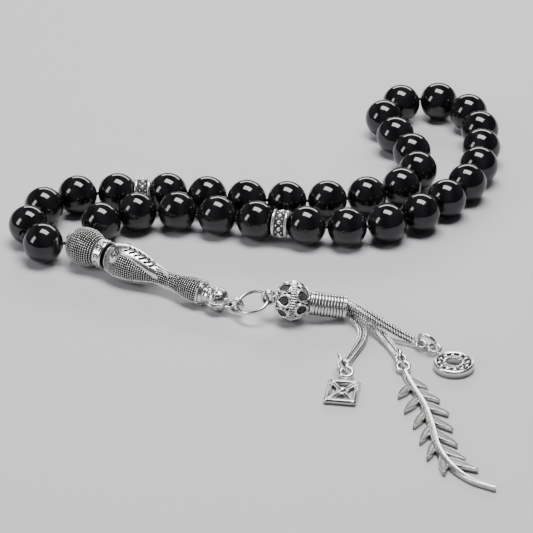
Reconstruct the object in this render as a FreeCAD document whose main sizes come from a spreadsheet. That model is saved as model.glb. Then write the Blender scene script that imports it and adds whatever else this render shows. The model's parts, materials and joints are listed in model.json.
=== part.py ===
import FreeCAD, Part
import math
import os
import re

import Sketcher
from FreeCAD import Placement, Rotation, Vector

# Misbaha: a closed strand of onyx beads lying on a table, gathered in a turned silver imame, which
# carries two rings, a filigree bead, a wire-bound cap and six foxtail chain strands with three charms.
# Millimetres, +Z up, z = 0 is the table. Angles are in degrees, seen from above, from +X towards +Y.

SIZES = {
    # beads, spacers and the thread through them
    "bead_radius": 5.0, "bore_radius": 1.0, "bead_gap": 0.24, "thread_radius": 0.4,
    "spacer_half_width": 2.0, "spacer_half_link": 1.28, "spacer_radius": 3.6,
    "spacer_rim": 0.75, "spacer_band_radius": 3.1, "seat_clearance": 0.4, "granule_radius": 0.42,
    "thread_inside": 0.9, "thread_offset": 0.42, "thread_parting": 0.4, "longest_tangent": 2.2,
    # imame, by stations along its axis
    "mouth_station": 0.6, "mouth_radius": 1.7, "nose_radius": 3.0, "bulb_radius": 4.8, "bulb_station": 4.8,
    "collar_start": 9.2, "collar_radius": 3.7, "collar_end": 11.5, "groove_radius": 2.9,
    "spigot_radius": 2.2, "spigot_end": 14.5, "body_start": 12.5, "shoulder_radius": 3.4,
    "waist_station": 17.0, "waist_radius": 4.5, "neck_station": 30.2, "neck_radius": 1.95,
    "flare_station": 38.5, "flare_radius": 3.2, "body_end": 41.0, "end_radius": 2.3,
    "imame_bore_radius": 1.2, "blade_rise": 0.35,
    "ball_station": 44.4, "ball_radius": 2.95, "ball_cavity_radius": 2.1, "lug_radius": 1.05,
    "ball_neck_radius": 1.9, "ball_slit": 0.06, "lug_drop": 0.4,
    "lug_wire_radius": 0.35, "lug_reach": 3.45, "knot_radius": 1.6,
    # rings
    "link_radius": 1.75, "link_wire_radius": 0.28, "large_ring_radius": 3.75, "large_wire_radius": 0.43,
    "jump_radius": 2.3, "jump_wire_radius": 0.45,
    # tassel head, measured along its pin
    "eye_radius": 1.4, "eye_wire_radius": 0.36, "pin_radius": 0.6, "pin_wrap_radius": 0.96,
    "running_play": 0.1, "bore_play": 0.08, "filigree_station": 5.75,
    "filigree_half_length": 4.0, "filigree_radius": 4.85, "filigree_end_radius": 2.2,
    "coil_start": 10.0, "coil_radius": 2.95, "coil_inner_radius": 2.35, "coil_pitch": 0.75,
    "coil_arc_radius": 0.39,
    "cap_depth": 1.0,
    # foxtail strands and charms
    "strand_radius": 0.65, "strand_offset": 0.7, "end_loop_radius": 1.15, "end_loop_wire_radius": 0.35,
    "end_loop_neck_radius": 0.42,
    "charm_loop_radius": 1.4, "charm_loop_wire_radius": 0.45, "charm_loop_rise": 1.37,
    "charm_neck_width": 1.17, "charm_neck_height": 1.08, "rosette_neck_height": 1.2, "pearl_sink": 0.1,
    "plaque_length": 9.6, "plaque_width": 7.6, "plaque_thickness": 1.8, "plaque_frame": 1.3, "plaque_bar": 0.45,
    "rosette_radius": 4.9, "rosette_hole_radius": 1.9, "rosette_pearl_radius": 0.55,
    "rosette_pearl_circle": 3.4, "rosette_thickness": 2.0, "branch_thickness": 1.4,
}
ARC_SHARE = 0.45  # of the shorter run beside a corner
COIL_TURNS = 12
GRANULES = 11
PEARLS = 12

doc = FreeCAD.newDocument("misbaha")
sheet = doc.addObject("Spreadsheet::Sheet", "Sizes")
for row, (alias, value) in enumerate(SIZES.items(), start=1):
    sheet.set("A%d" % row, alias)
    sheet.set("B%d" % row, str(value))
    sheet.setAlias("B%d" % row, alias)
doc.recompute()


def bound(formula):
    """A formula of sheet aliases as an expression that FreeCAD keeps up to date."""
    return re.sub(r"[a-z_]+", lambda word: "Sizes." * (word.group() in SIZES) + word.group(), formula)


def number(formula):
    return float(sheet.evalExpression(bound(formula)))


# --- helpers -----------------------------------------------------------------------------------

def heading(degrees):
    return Vector(math.cos(math.radians(degrees)), math.sin(math.radians(degrees)), 0)


def along(axis):
    """The rotation that takes a piece's own Z axis to this direction."""
    return Rotation(Vector(0, 0, 1), axis)


def origin_feature(body, role):
    return next(item for item in body.Origin.OriginFeatures if item.Role == role)


def sketch_on(body, plane):
    sketch = body.newObject("Sketcher::SketchObject", body.Name + "_sketch")
    sketch.AttachmentSupport = (origin_feature(body, plane), "")
    sketch.MapMode = "FlatFace"
    return sketch


def constrain(sketch, kind, *where, formula):
    """Adds one dimension to a sketch and ties it to the sheet."""
    index = sketch.addConstraint(Sketcher.Constraint(kind, *where, number(formula)))
    sketch.setExpression("Constraints[%d]" % index, bound(formula))


def arc_between(start, end, radius, bulge):
    """The arc from start to end that bulges to the right (+1) or left (-1), and which end comes first."""
    chord = end - start
    right = Vector(chord.y, -chord.x, 0).normalize() * bulge
    centre = (start + end) / 2 - right * math.sqrt(max(radius ** 2 - (chord.Length / 2) ** 2, 0))
    angles = [math.atan2(point.y - centre.y, point.x - centre.x) for point in (start, end)]
    if bulge < 0:
        angles.reverse()
    return Part.ArcOfCircle(Part.Circle(centre, Vector(0, 0, 1), radius), *angles), bulge > 0


def turned(label, outline):
    """A body turned about its own Z axis. A corner is (radius, height); one that starts an arc adds
    the arc's radius and 1 where it bulges to the right of the way round, or -1 to the left."""
    body = doc.addObject("PartDesign::Body", label)
    sketch = sketch_on(body, "XZ_Plane")
    points = [Vector(number(corner[0]), number(corner[1]), 0) for corner in outline]
    ends = []
    for index, corner in enumerate(outline):
        start, end = points[index], points[(index + 1) % len(points)]
        forwards = True
        edge = Part.LineSegment(start, end)
        if len(corner) == 4:
            edge, forwards = arc_between(start, end, number(corner[2]), corner[3])
        sketch.addGeometry(edge)
        ends.append((1, 2) if forwards else (2, 1))
    for index in range(len(outline)):
        after = (index + 1) % len(outline)
        join = Sketcher.Constraint("Coincident", index, ends[index][1], after, ends[after][0])
        sketch.addConstraint(join)
    for index, corner in enumerate(outline):
        constrain(sketch, "DistanceX", -1, 1, index, ends[index][0], formula=corner[0])
        constrain(sketch, "DistanceY", -1, 1, index, ends[index][0], formula=corner[1])
        if len(corner) == 4:
            constrain(sketch, "Radius", index, formula=corner[2])
    revolution = body.newObject("PartDesign::Revolution", label + "_turning")
    revolution.Profile = sketch
    revolution.ReferenceAxis = (sketch, ["V_Axis"])
    revolution.Angle = 360
    return body


def wave(start_radius, start_height, end_radius, end_height):
    """Two equal tangent arcs between two stations where an outline runs parallel to its axis."""
    rise = "(%s - %s)" % (end_height, start_height)
    step = "(%s - %s)" % (end_radius, start_radius)
    arc = "(%s^2 + %s^2) / (4 * abs(%s))" % (rise, step, step)
    first = 1 if number(step) < 0 else -1
    middle = ("(%s + %s) / 2" % (start_radius, end_radius), "(%s + %s) / 2" % (start_height, end_height))
    return [(start_radius, start_height, arc, first), (*middle, arc, -first)]


def primitive(kind, name, place=Placement(), **sizes):
    """A Part primitive whose sizes are tied to the sheet."""
    shape = doc.addObject("Part::" + kind, name)
    for size, formula in sizes.items():
        shape.setExpression(size, bound(formula))
    shape.Placement = place
    return shape


def fused(label, pieces, place=Placement()):
    union = doc.addObject("Part::MultiFuse", label)
    union.Shapes = pieces
    union.Placement = place
    return union


def feature(label, shape, place=Placement()):
    made = doc.addObject("Part::Feature", label)
    made.Shape = shape
    made.Placement = place
    return made


def torus(name, ring, wire, place=Placement()):
    return primitive("Torus", name, place, Radius1=ring, Radius2=wire)


def rounded_path(points, share, longest=None):
    """Straight runs joined by tangent arcs. An arc takes this share of the shorter run beside it, up
    to the longest tangent given. Returns the wire and the arcs' radii."""
    edges, radii, last = [], [], points[0]
    for before, corner, after in zip(points, points[1:], points[2:]):
        back, ahead = (before - corner), (after - corner)
        tangent = share * min(back.Length, ahead.Length)
        if longest:
            tangent = min(tangent, longest)
        back.normalize()
        ahead.normalize()
        half_turn = (math.pi - back.getAngle(ahead)) / 2
        radius = tangent / math.tan(half_turn)
        inwards = (back + ahead).normalize()
        middle = corner + inwards * (radius / math.cos(half_turn) - radius)
        edges.append(Part.LineSegment(last, corner + back * tangent).toShape())
        last = corner + ahead * tangent
        edges.append(Part.Arc(corner + back * tangent, middle, last).toShape())
        radii.append(radius)
    edges.append(Part.LineSegment(last, points[-1]).toShape())
    return Part.Wire(edges), radii


def tube(name, points, radius, share, longest=None):
    """A round tube along a rounded path. Prints its length and tightest arc, and checks its volume."""
    path, radii = rounded_path(points, share, longest)
    section = Part.Wire(Part.makeCircle(radius, points[0], points[1] - points[0]))
    shape = path.makePipeShell([section], True, False)
    expected = math.pi * radius ** 2 * path.Length
    print("%s: %.1f mm long, arcs from %.1f mm, volume %.4f of section times length"
          % (name, path.Length, min(radii), shape.Volume / expected))
    return shape


# --- beads, spacers and thread ----------------------------------------------------------------------

# The way each bore points along the strand, bead by bead, from the imame and back to it. The first
# bead lies across the imame's mouth and takes the thread's sharp turn, so it has a place of its own.
FIRST_BEAD = Vector(-55.3, 3.0, SIZES["bead_radius"])
SECOND_BEAD = Vector(-59.5, 12.35, SIZES["bead_radius"])
HEADINGS = [
    *[("bead", turn) for turn in (172, 78, 65, 9, 5)],
    ("spacer", 0),
    *[("bead", turn) for turn in (-3, -17, -5, -3, 7, 17, 40, 87, 106, 119, 91, 33, -19, -64, -89, -93,
                                  -101, -119, -128, -137, -158, -179, -189)],
    ("spacer", -193),
    *[("bead", turn) for turn in (-196, -195, -189, -166, -133)],
]


def crossing(first, first_way, second, second_way):
    """Where two level lines meet, each given by a point and a way."""
    side = Vector(-second_way.y, second_way.x, 0)
    return first + first_way * ((second - first).dot(side) / first_way.dot(side))


def strand_layout():
    """Each piece's centre and heading, and the corners of the thread between them. Neighbours stand
    equally far from the corner between them, so that each bead meets the next on its own bore."""
    reach = {"bead": number("bead_radius + bead_gap / 2"), "spacer": number("spacer_half_link")}
    places, corners = [], []
    centre = FIRST_BEAD
    for index, (kind, turn) in enumerate(HEADINGS):
        if index:
            last_kind, last_turn = HEADINGS[index - 1]
            spread = math.cos(math.radians(turn - last_turn) / 2)
            corner = centre + heading(last_turn) * (reach[last_kind] / spread)
            centre = corner + heading(turn) * (reach[kind] / spread)
            if index == 1:
                corner = crossing(FIRST_BEAD, heading(last_turn), SECOND_BEAD, heading(turn))
                centre = SECOND_BEAD
            corners.append(corner)
        places.append((kind, centre, turn))
    return places, corners


def bead(label):
    pole = "sqrt(bead_radius^2 - bore_radius^2)"
    return turned(label, [
        ("bore_radius", "-" + pole, "bead_radius", 1),
        ("bore_radius", pole),
    ])


def spacer(label):
    """A ring with a hollow seat for a bead at each end, two rims and a sunk band with granules."""
    seat = "bead_radius + seat_clearance"
    reach = "(bead_radius + bead_gap / 2 + spacer_half_link)"
    lip = "sqrt((%s)^2 - (%s - spacer_half_width)^2)" % (seat, reach)
    throat = "(%s - sqrt((%s)^2 - bore_radius^2))" % (reach, seat)
    band = "(spacer_half_width - spacer_rim)"
    body = turned(label, [
        ("bore_radius", "-" + throat, seat, -1),
        (lip, "-spacer_half_width"),
        ("spacer_radius", "-spacer_half_width"),
        ("spacer_radius", "-" + band),
        ("spacer_band_radius", "-" + band),
        ("spacer_band_radius", band),
        ("spacer_radius", band),
        ("spacer_radius", "spacer_half_width"),
        (lip, "spacer_half_width", seat, -1),
        ("bore_radius", throat),
    ])
    granule = body.newObject("PartDesign::AdditiveSphere", label + "_granule")
    granule.Placement = Placement(Vector(number("spacer_band_radius"), 0, 0), Rotation())
    granule.setExpression("Radius", bound("granule_radius"))
    doc.recompute()
    around = body.newObject("PartDesign::PolarPattern", label + "_granules")
    around.Originals = [granule]
    around.Axis = (origin_feature(body, "Z_Axis"), [""])
    around.Angle = 360
    around.Occurrences = GRANULES
    body.Tip = around
    return body


def make_strand():
    places, corners = strand_layout()
    counts = {"bead": 0, "spacer": 0}
    nodes = []
    for kind, centre, turn in places:
        counts[kind] += 1
        piece = bead("bead_%02d" % counts[kind]) if kind == "bead" else spacer("spacer_%d" % counts[kind])
        piece.Placement = Placement(centre, along(heading(turn)))
        nodes.append(piece)
    first, last = places[0], places[-1]
    inside = number("mouth_station + thread_inside")
    start = crossing(first[1], heading(first[2]), IMAME_PLACE.multVec(Vector(0, 0, inside)), ACROSS)
    mouth_line = IMAME_PLACE.multVec(Vector(number("thread_offset"), 0, 0))
    turn = crossing(last[1], heading(last[2]), mouth_line, heading(IMAME_HEADING))
    end = IMAME_PLACE.multVec(Vector(number("thread_offset"), 0, inside))
    start.z = turn.z = end.z
    route = [start, *corners, turn, end]
    thread = tube("string", route, number("thread_radius"), ARC_SHARE, number("longest_tangent"))
    return [*nodes, feature("string", thread)]


# --- imame ------------------------------------------------------------------------------------------

# The imame lies on its waist and its end ball, so that its axis falls towards the ball.
IMAME_HEADING = -34.0
WAIST_HEIGHT = 4.55
BALL_HEIGHT = 3.05
IMAME_SLOPE = math.degrees(math.asin((WAIST_HEIGHT - BALL_HEIGHT) / number("ball_station - waist_station")))
IMAME_AXIS = Vector(
    heading(IMAME_HEADING).x * math.cos(math.radians(IMAME_SLOPE)),
    heading(IMAME_HEADING).y * math.cos(math.radians(IMAME_SLOPE)),
    -math.sin(math.radians(IMAME_SLOPE)),
)
IMAME_START = Vector(-48.57, 3.34, BALL_HEIGHT - IMAME_AXIS.z * number("ball_station"))
# own Z along the axis, own X level and towards the beads, own Y up
ACROSS = heading(IMAME_HEADING + 90)
IMAME_PLACE = Placement(IMAME_START, Rotation(ACROSS, IMAME_AXIS.cross(ACROSS), IMAME_AXIS, "ZXY"))


def level_arc(low_radius, low_station, top_radius, top_station):
    """The radius of an arc that runs parallel to the axis at its top station."""
    rise = "(%s - %s)" % (top_station, low_station)
    step = "(%s - %s)" % (top_radius, low_radius)
    return "(%s^2 + %s^2) / (2 * %s)" % (rise, step, step)


def imame_head():
    """Bulb, collar and the spigot that plugs into the body, bored for the thread."""
    return turned("imame_head", [
        ("mouth_radius", "mouth_station"),
        ("nose_radius", "mouth_station",
         level_arc("nose_radius", "mouth_station", "bulb_radius", "bulb_station"), 1),
        ("bulb_radius", "bulb_station",
         level_arc("groove_radius", "collar_start", "bulb_radius", "bulb_station"), 1),
        ("groove_radius", "collar_start"),
        ("collar_radius", "collar_start"),
        ("collar_radius", "collar_end"),
        ("groove_radius", "collar_end"),
        ("groove_radius", "body_start"),
        ("spigot_radius", "body_start"),
        ("spigot_radius", "spigot_end"),
        ("mouth_radius", "spigot_end"),
    ])


SHOULDER_ARC = level_arc("shoulder_radius", "body_start", "waist_radius", "waist_station")


def imame_body():
    """Knurled grip: a belly that draws in to a neck and flares again towards the ball."""
    return turned("imame_body", [
        ("spigot_radius", "body_start"),
        ("shoulder_radius", "body_start", SHOULDER_ARC, 1),
        *wave("waist_radius", "waist_station", "neck_radius", "neck_station"),
        *wave("neck_radius", "neck_station", "flare_radius", "flare_station"),
        ("flare_radius", "flare_station",
         level_arc("end_radius", "body_end", "flare_radius", "flare_station"), 1),
        ("end_radius", "body_end"),
        ("imame_bore_radius", "body_end"),
        ("imame_bore_radius", "spigot_end"),
        ("spigot_radius", "spigot_end"),
    ])


def belly_radius(station):
    """The body's radius between its start and its neck."""
    waist, neck = number("waist_station"), number("neck_station")
    big, small = number("waist_radius"), number("neck_radius")
    if station < waist:
        arc = number(SHOULDER_ARC)
        return big - arc + math.sqrt(arc ** 2 - (waist - station) ** 2)
    arc = ((neck - waist) ** 2 + (big - small) ** 2) / (4 * (big - small))
    if station < (waist + neck) / 2:
        return big - arc + math.sqrt(arc ** 2 - (station - waist) ** 2)
    return small + arc - math.sqrt(arc ** 2 - (neck - station) ** 2)


# A forked blade seen flat: (station, distance from its middle line), near side positive.
BLADE_OUTLINE = [
    (12.9, -0.8), (12.9, 0.8), (14.6, 1.0), (14.4, 2.6), (14.9, 3.7), (16.3, 3.7), (16.9, 2.6),
    (17.2, 1.9), (22.0, 2.2), (25.5, 2.1), (27.9, 1.85), (26.6, 0.5), (28.8, 0.4), (30.6, 1.0),
    (29.6, -0.5), (27.0, -1.3), (22.0, -2.1), (17.2, -1.9), (16.9, -2.6), (16.3, -3.6),
    (14.9, -3.6), (14.4, -2.4), (14.6, -1.0),
]
BLADE_ROLL = 8.0  # turned from the top of the body towards the near side


def blade_ornament(body):
    """The blade is laid on the belly: its flat outline, cut from a layer that follows the body."""
    corners = [Vector(-side, 0, station) for station, side in BLADE_OUTLINE + BLADE_OUTLINE[:1]]
    prism = Part.Face(Part.makePolygon(corners)).extrude(Vector(0, 2 * number("waist_radius"), 0))
    stations = [12.7, 14.0, 15.5, 17.0, 19.0, 21.5, 23.6, 26.0, 28.0, 29.5, 31.0]
    rise = number("blade_rise")
    skin = Part.BSplineCurve()
    skin.interpolate([
        Vector(belly_radius(min(station, number("neck_station"))) + rise, 0, station)
        for station in stations
    ])
    start, end = Vector(0, 0, stations[0]), Vector(0, 0, stations[-1])
    sides = [
        Part.LineSegment(start, skin.StartPoint).toShape(),
        skin.toShape(),
        Part.LineSegment(skin.EndPoint, end).toShape(),
        Part.LineSegment(end, start).toShape(),
    ]
    layer = Part.Face(Part.Wire(sides)).revolve(Vector(), Vector(0, 0, 1), 360)
    bare_body = body.Shape.copy()
    bare_body.Placement = Placement()
    prism.rotate(Vector(), Vector(0, 0, 1), BLADE_ROLL)
    pieces = prism.common(layer).cut(bare_body).Solids
    # the cut also leaves the hollow inside the body, which lies lower than the blade
    blade = max(pieces, key=lambda piece: piece.BoundBox.YMax)
    return feature("blade_ornament", blade, IMAME_PLACE)


LUG = Vector(0, number("-lug_drop"), number("ball_station + lug_reach"))


def knot_cup(label, side):
    """Half of the ball that closes over the knot, hollow inside. The lower half carries the lug."""
    station, end = number("ball_station"), number("body_end")
    centre, start = Placement(Vector(0, 0, station), Rotation()), Placement(Vector(0, 0, end), Rotation())
    shell = primitive("Sphere", label + "_shell", centre, Radius="ball_radius")
    cavity = primitive("Sphere", label + "_cavity", centre, Radius="ball_cavity_radius")
    neck = primitive("Cylinder", label + "_neck", start, Radius="ball_neck_radius",
                     Height="ball_station - body_end")
    bore = primitive("Cylinder", label + "_bore", start, Radius="imame_bore_radius",
                     Height="ball_station - body_end")
    hollow = doc.addObject("Part::Cut", label + "_hollow")
    hollow.Base = fused(label + "_outer", [shell, neck])
    hollow.Tool = fused(label + "_inner", [cavity, bore])
    block = primitive("Box", label + "_half", Length="ball_radius * 4", Width="ball_radius * 2",
                      Height="ball_radius * 4")
    reach, slit = number("ball_radius * 2"), number("ball_slit / 2")
    block.Placement = Placement(
        Vector(-reach, slit if side > 0 else -slit - reach, station - reach), Rotation())
    half = doc.addObject("Part::Common", label if side > 0 else label + "_bowl")
    half.Base, half.Tool = hollow, block
    if side > 0:
        half.Placement = IMAME_PLACE
        return half
    # the lug's hole is upright, so that the link ring swings level in it
    lug = torus(label + "_lug", "lug_radius", "lug_wire_radius",
                Placement(LUG, Rotation(Vector(1, 0, 0), 90)))
    return fused(label, [half, lug], IMAME_PLACE)


def cord_ends():
    """Both thread ends side by side through the imame, tied in a knot inside the ball."""
    start = "(mouth_station + thread_inside + thread_parting)"
    ends = [
        primitive("Cylinder", "cord_end_%s" % name,
                  Placement(Vector(side * number("thread_offset"), 0, number(start)), Rotation()),
                  Radius="thread_radius", Height="ball_station - " + start)
        for name, side in (("far", 1), ("near", -1))
    ]
    knot = primitive("Sphere", "cord_knot", Placement(Vector(0, 0, number("ball_station")), Rotation()),
                     Radius="knot_radius")
    return fused("cord_ends", [*ends, knot], IMAME_PLACE)


def make_imame():
    nodes = [imame_head(), imame_body()]
    for piece in nodes:
        piece.Placement = IMAME_PLACE
    doc.recompute()
    nodes.append(blade_ornament(nodes[1]))
    nodes += [knot_cup("knot_cup_upper", 1), knot_cup("knot_cup_lower", -1), cord_ends()]
    return nodes


# --- rings ------------------------------------------------------------------------------------------

LUG_HOLE = IMAME_PLACE.multVec(LUG)
LINK_WAY = Vector(0.914, -0.33, 0.236)  # from the lug's hole across the link ring
RING_WAY = Vector(0.965, -0.07, 0.25)   # from the link across the large ring
RING_TILT = 13.0                        # the large ring's far side stands higher by this angle
LINK_CENTRE = LUG_HOLE + LINK_WAY * number("link_radius")
RING_CENTRE = Vector(-3.25, -24.95, 4.3)


def ring_place(centre, way, lift):
    """A ring lies along its way and is tilted about it: 0 is level, 90 upright."""
    way = Vector(way).normalize()
    level = Vector(0, 0, 1).cross(way).normalize()
    upright = way.cross(level)
    across = level * math.cos(math.radians(lift)) + upright * math.sin(math.radians(lift))
    return Placement(centre, Rotation(way, across, way.cross(across), "ZXY"))


TURN_BITE = 0.95  # of the wire's radius, so that two turns side by side run into each other


def double_ring(label, ring, wire, place):
    """Two turns of wire side by side, closed."""
    turns = [
        torus(label + "_turn_%d" % side, ring, wire, Placement(Vector(0, 0, offset), Rotation()))
        for side, offset in enumerate((-TURN_BITE * number(wire), TURN_BITE * number(wire)))
    ]
    return fused(label, turns, place)


def make_rings():
    return [
        double_ring("link_ring", "link_radius", "link_wire_radius", ring_place(LINK_CENTRE, LINK_WAY, 90)),
        torus("large_ring", "large_ring_radius", "large_wire_radius",
              ring_place(RING_CENTRE, RING_WAY, RING_TILT)),
    ]


# --- tassel head ------------------------------------------------------------------------------------

# The pin's axis falls from the eye to the cap's mouth, where the cap lies on the table.
EYE_CENTRE = Vector(0.45, -25.3, 5.68)
TASSEL_SLOPE = 8.3
TASSEL_AXIS = Vector(math.cos(math.radians(TASSEL_SLOPE)), 0, -math.sin(math.radians(TASSEL_SLOPE)))
TASSEL_PLACE = Placement(EYE_CENTRE, along(TASSEL_AXIS))


def tassel_point(station):
    return EYE_CENTRE + TASSEL_AXIS * station


def tassel_pin():
    """A wire turned twice into an eye; its shank carries the filigree bead and ends in the cap."""
    eye = double_ring("pin_eye", "eye_radius", "eye_wire_radius",
                      Placement(Vector(), Rotation(Vector(1, 0, 0), 90)))
    shank = primitive("Cylinder", "pin_shank", Placement(Vector(0, 0, number("eye_radius")), Rotation()),
                      Radius="pin_radius", Height="coil_start - eye_radius + 5")
    collar = primitive("Cylinder", "pin_collar", Placement(Vector(0, 0, number("eye_radius")), Rotation()),
                       Radius="pin_wrap_radius",
                       Height="filigree_station - filigree_half_length - eye_radius - running_play")
    return fused("tassel_pin", [eye, shank, collar], TASSEL_PLACE)


def filigree_bead():
    start = "(filigree_station - filigree_half_length)"
    end = "(filigree_station + filigree_half_length)"
    crown = level_arc("filigree_end_radius", start, "filigree_radius", "filigree_station")
    return turned("filigree_bead", [
        ("pin_radius + bore_play", start),
        ("filigree_end_radius", start, crown, 1),
        ("filigree_radius", "filigree_station", crown, 1),
        ("filigree_end_radius", end),
        ("pin_radius + bore_play", end),
    ])


def wire_coil():
    """Close-wound turns of wire round the cap, each a half-round ridge."""
    valley = "(coil_radius - coil_pitch / 2)"
    corners = [("coil_inner_radius", "coil_start")]
    for turn in range(COIL_TURNS):
        corners.append((valley, "coil_start + %d * coil_pitch" % turn, "coil_arc_radius", 1))
    mouth = "coil_start + %d * coil_pitch" % COIL_TURNS
    return turned("wire_coil", [*corners, (valley, mouth), ("coil_inner_radius", mouth)])


def cap_core():
    """The plug that holds the pin's end and the chains' first links inside the coil."""
    end = "coil_start + %d * coil_pitch - cap_depth" % COIL_TURNS
    return turned("cap_core", [
        ("pin_radius", "coil_start"),
        ("coil_inner_radius", "coil_start"),
        ("coil_inner_radius", end),
        ("pin_radius", end),
    ])


def make_tassel_head():
    nodes = [tassel_pin(), filigree_bead(), wire_coil(), cap_core()]
    for piece in nodes[1:]:
        piece.Placement = TASSEL_PLACE
    return nodes


# --- strands, jump rings and charms -------------------------------------------------------------------

CAP_MOUTH = tassel_point(number("coil_start + %d * coil_pitch" % COIL_TURNS))

# Each pair of strands leaves the cap in its own layer and sinks to the table, clear of the others.
# (x, y, z) of its middle.
PAIRS = {
    "left": [(19.15, -25.3, 1.68), (21.7, -28.35, 0.77), (23.05, -32.15, 0.76), (22.75, -36.5, 0.8),
             (21.2, -40.95, 0.73), (19.4, -44.75, 0.7), (18.5, -47.3, 0.9)],
    "middle": [(18.95, -25.3, 3.0), (23.1, -28.2, 2.56), (25.6, -32.05, 1.87), (27.9, -36.35, 1.1),
               (29.95, -40.65, 0.7), (31.2, -44.7, 0.9)],
    "right": [(19.6, -25.3, 4.33), (22.55, -29.75, 4.9), (26.3, -33.0, 4.12), (29.9, -35.45, 2.85),
              (33.25, -37.2, 1.7), (35.7, -38.4, 1.1)],
}
# Each jump ring's centre and the way that its level diameter points, towards its charm; its lean is
# how far it is turned from upright.
JUMP_RINGS = {
    "left": (Vector(17.8, -50.9, 2.68), -77.9, 20.4),
    "middle": (Vector(31.5, -48.25, 2.72), -83.3, 11.8),
    "right": (Vector(37.9, -41.1, 2.68), -32.0, 17.7),
}
CHARM_HEADINGS = {"left": -98.7, "middle": -90.0, "right": -59.0}
CROSSING = 38.0   # below the jump ring's level diameter, where the end loops and the charms hang
LOOP_TIP = 18.0   # the loops lean this far to face along the jump ring's wire


def jump_frame(name):
    """The jump ring's centre, its level diameter and its leaning upright diameter."""
    centre, turn, lean = JUMP_RINGS[name]
    level = heading(turn)
    beside = Vector(level.y, -level.x, 0)
    upright = Vector(0, 0, 1) * math.cos(math.radians(lean)) + beside * math.sin(math.radians(lean))
    return centre, level, upright


def jump_ring(name):
    centre, level, upright = jump_frame(name)
    turn = Rotation(level, upright, level.cross(upright), "ZXY")
    return torus("jump_ring_" + name, "jump_radius", "jump_wire_radius", Placement(centre, turn))


def crossing_point(name, side):
    """Where the jump ring's wire passes a loop: side -1 at the strands, 1 at the charm."""
    centre, level, upright = jump_frame(name)
    angle = math.radians(CROSSING)
    return centre + (level * side * math.cos(angle) - upright * math.sin(angle)) * number("jump_radius")


def strand_points(name, side):
    """A pair's middle line, shifted level to one side. The pair starts square to the cap."""
    middle = [Vector(*point) for point in PAIRS[name]]
    shifted = []
    for index, point in enumerate(middle):
        ahead = middle[min(index + 1, len(middle) - 1)] - middle[max(index - 1, 0)]
        if index == 0:
            ahead = TASSEL_AXIS
        beside = Vector(-ahead.y, ahead.x, 0).normalize()
        shifted.append(point + beside * side * number("strand_offset"))
    return shifted


def chain_strand(name, side):
    """One foxtail strand as its plain outside. The left one of each pair ends in the loop that the
    jump ring goes through, and the other in a stub beside it."""
    label = "chain_%s_%s" % (name, "a" if side > 0 else "b")
    shape = tube(label, strand_points(name, side), number("strand_radius"), ARC_SHARE)
    if side > 0:
        loop_centre = crossing_point(name, -1)
        last = Vector(*PAIRS[name][-1])
        way = Vector(loop_centre.x - last.x, loop_centre.y - last.y, 0).normalize()
        loop = Part.makeTorus(number("end_loop_radius"), number("end_loop_wire_radius"))
        tip = Rotation(Vector(-way.y, way.x, 0), -LOOP_TIP)
        loop.Placement = Placement(loop_centre, tip)
        neck_start = strand_points(name, side)[-1]
        neck_end = loop_centre - way * number("end_loop_radius")
        reach = neck_end - neck_start
        neck = Part.makeCylinder(number("end_loop_neck_radius"), reach.Length, neck_start, reach)
        shape = shape.fuse([neck, loop]).removeSplitter()
    return feature(label, shape)


def charm_loop(name):
    return torus(name + "_loop", "charm_loop_radius", "charm_loop_wire_radius",
                 Placement(Vector(0, 0, number("charm_loop_rise")), Rotation(Vector(0, 1, 0), LOOP_TIP)))


def charm_neck(name, length, thickness):
    """The short bar between a charm and its loop."""
    bar = primitive("Box", name + "_neck", Width="charm_neck_width", Height=thickness)
    bar.Length = length
    bar.Placement = Placement(
        Vector(number("charm_loop_radius"), -number("charm_neck_width") / 2, 0), Rotation())
    return bar


def charm_place(name):
    """A charm lies flat on the table with its loop round the jump ring's wire."""
    point = crossing_point(name, 1)
    return Placement(Vector(point.x, point.y, 0), Rotation(Vector(0, 0, 1), CHARM_HEADINGS[name]))


def polygon(sketch, corners):
    """A closed outline of straight lines in a sketch."""
    first = sketch.GeometryCount
    count = len(corners)
    for index in range(count):
        sketch.addGeometry(Part.LineSegment(corners[index], corners[(index + 1) % count]))
    for index in range(count):
        join = Sketcher.Constraint("Coincident", first + index, 2, first + (index + 1) % count, 1)
        sketch.addConstraint(join)


NECK_BITE = 0.2    # a neck runs this far into its charm
PLAQUE_START = 3.2
ROSETTE_CENTRE = 8.2


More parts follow.
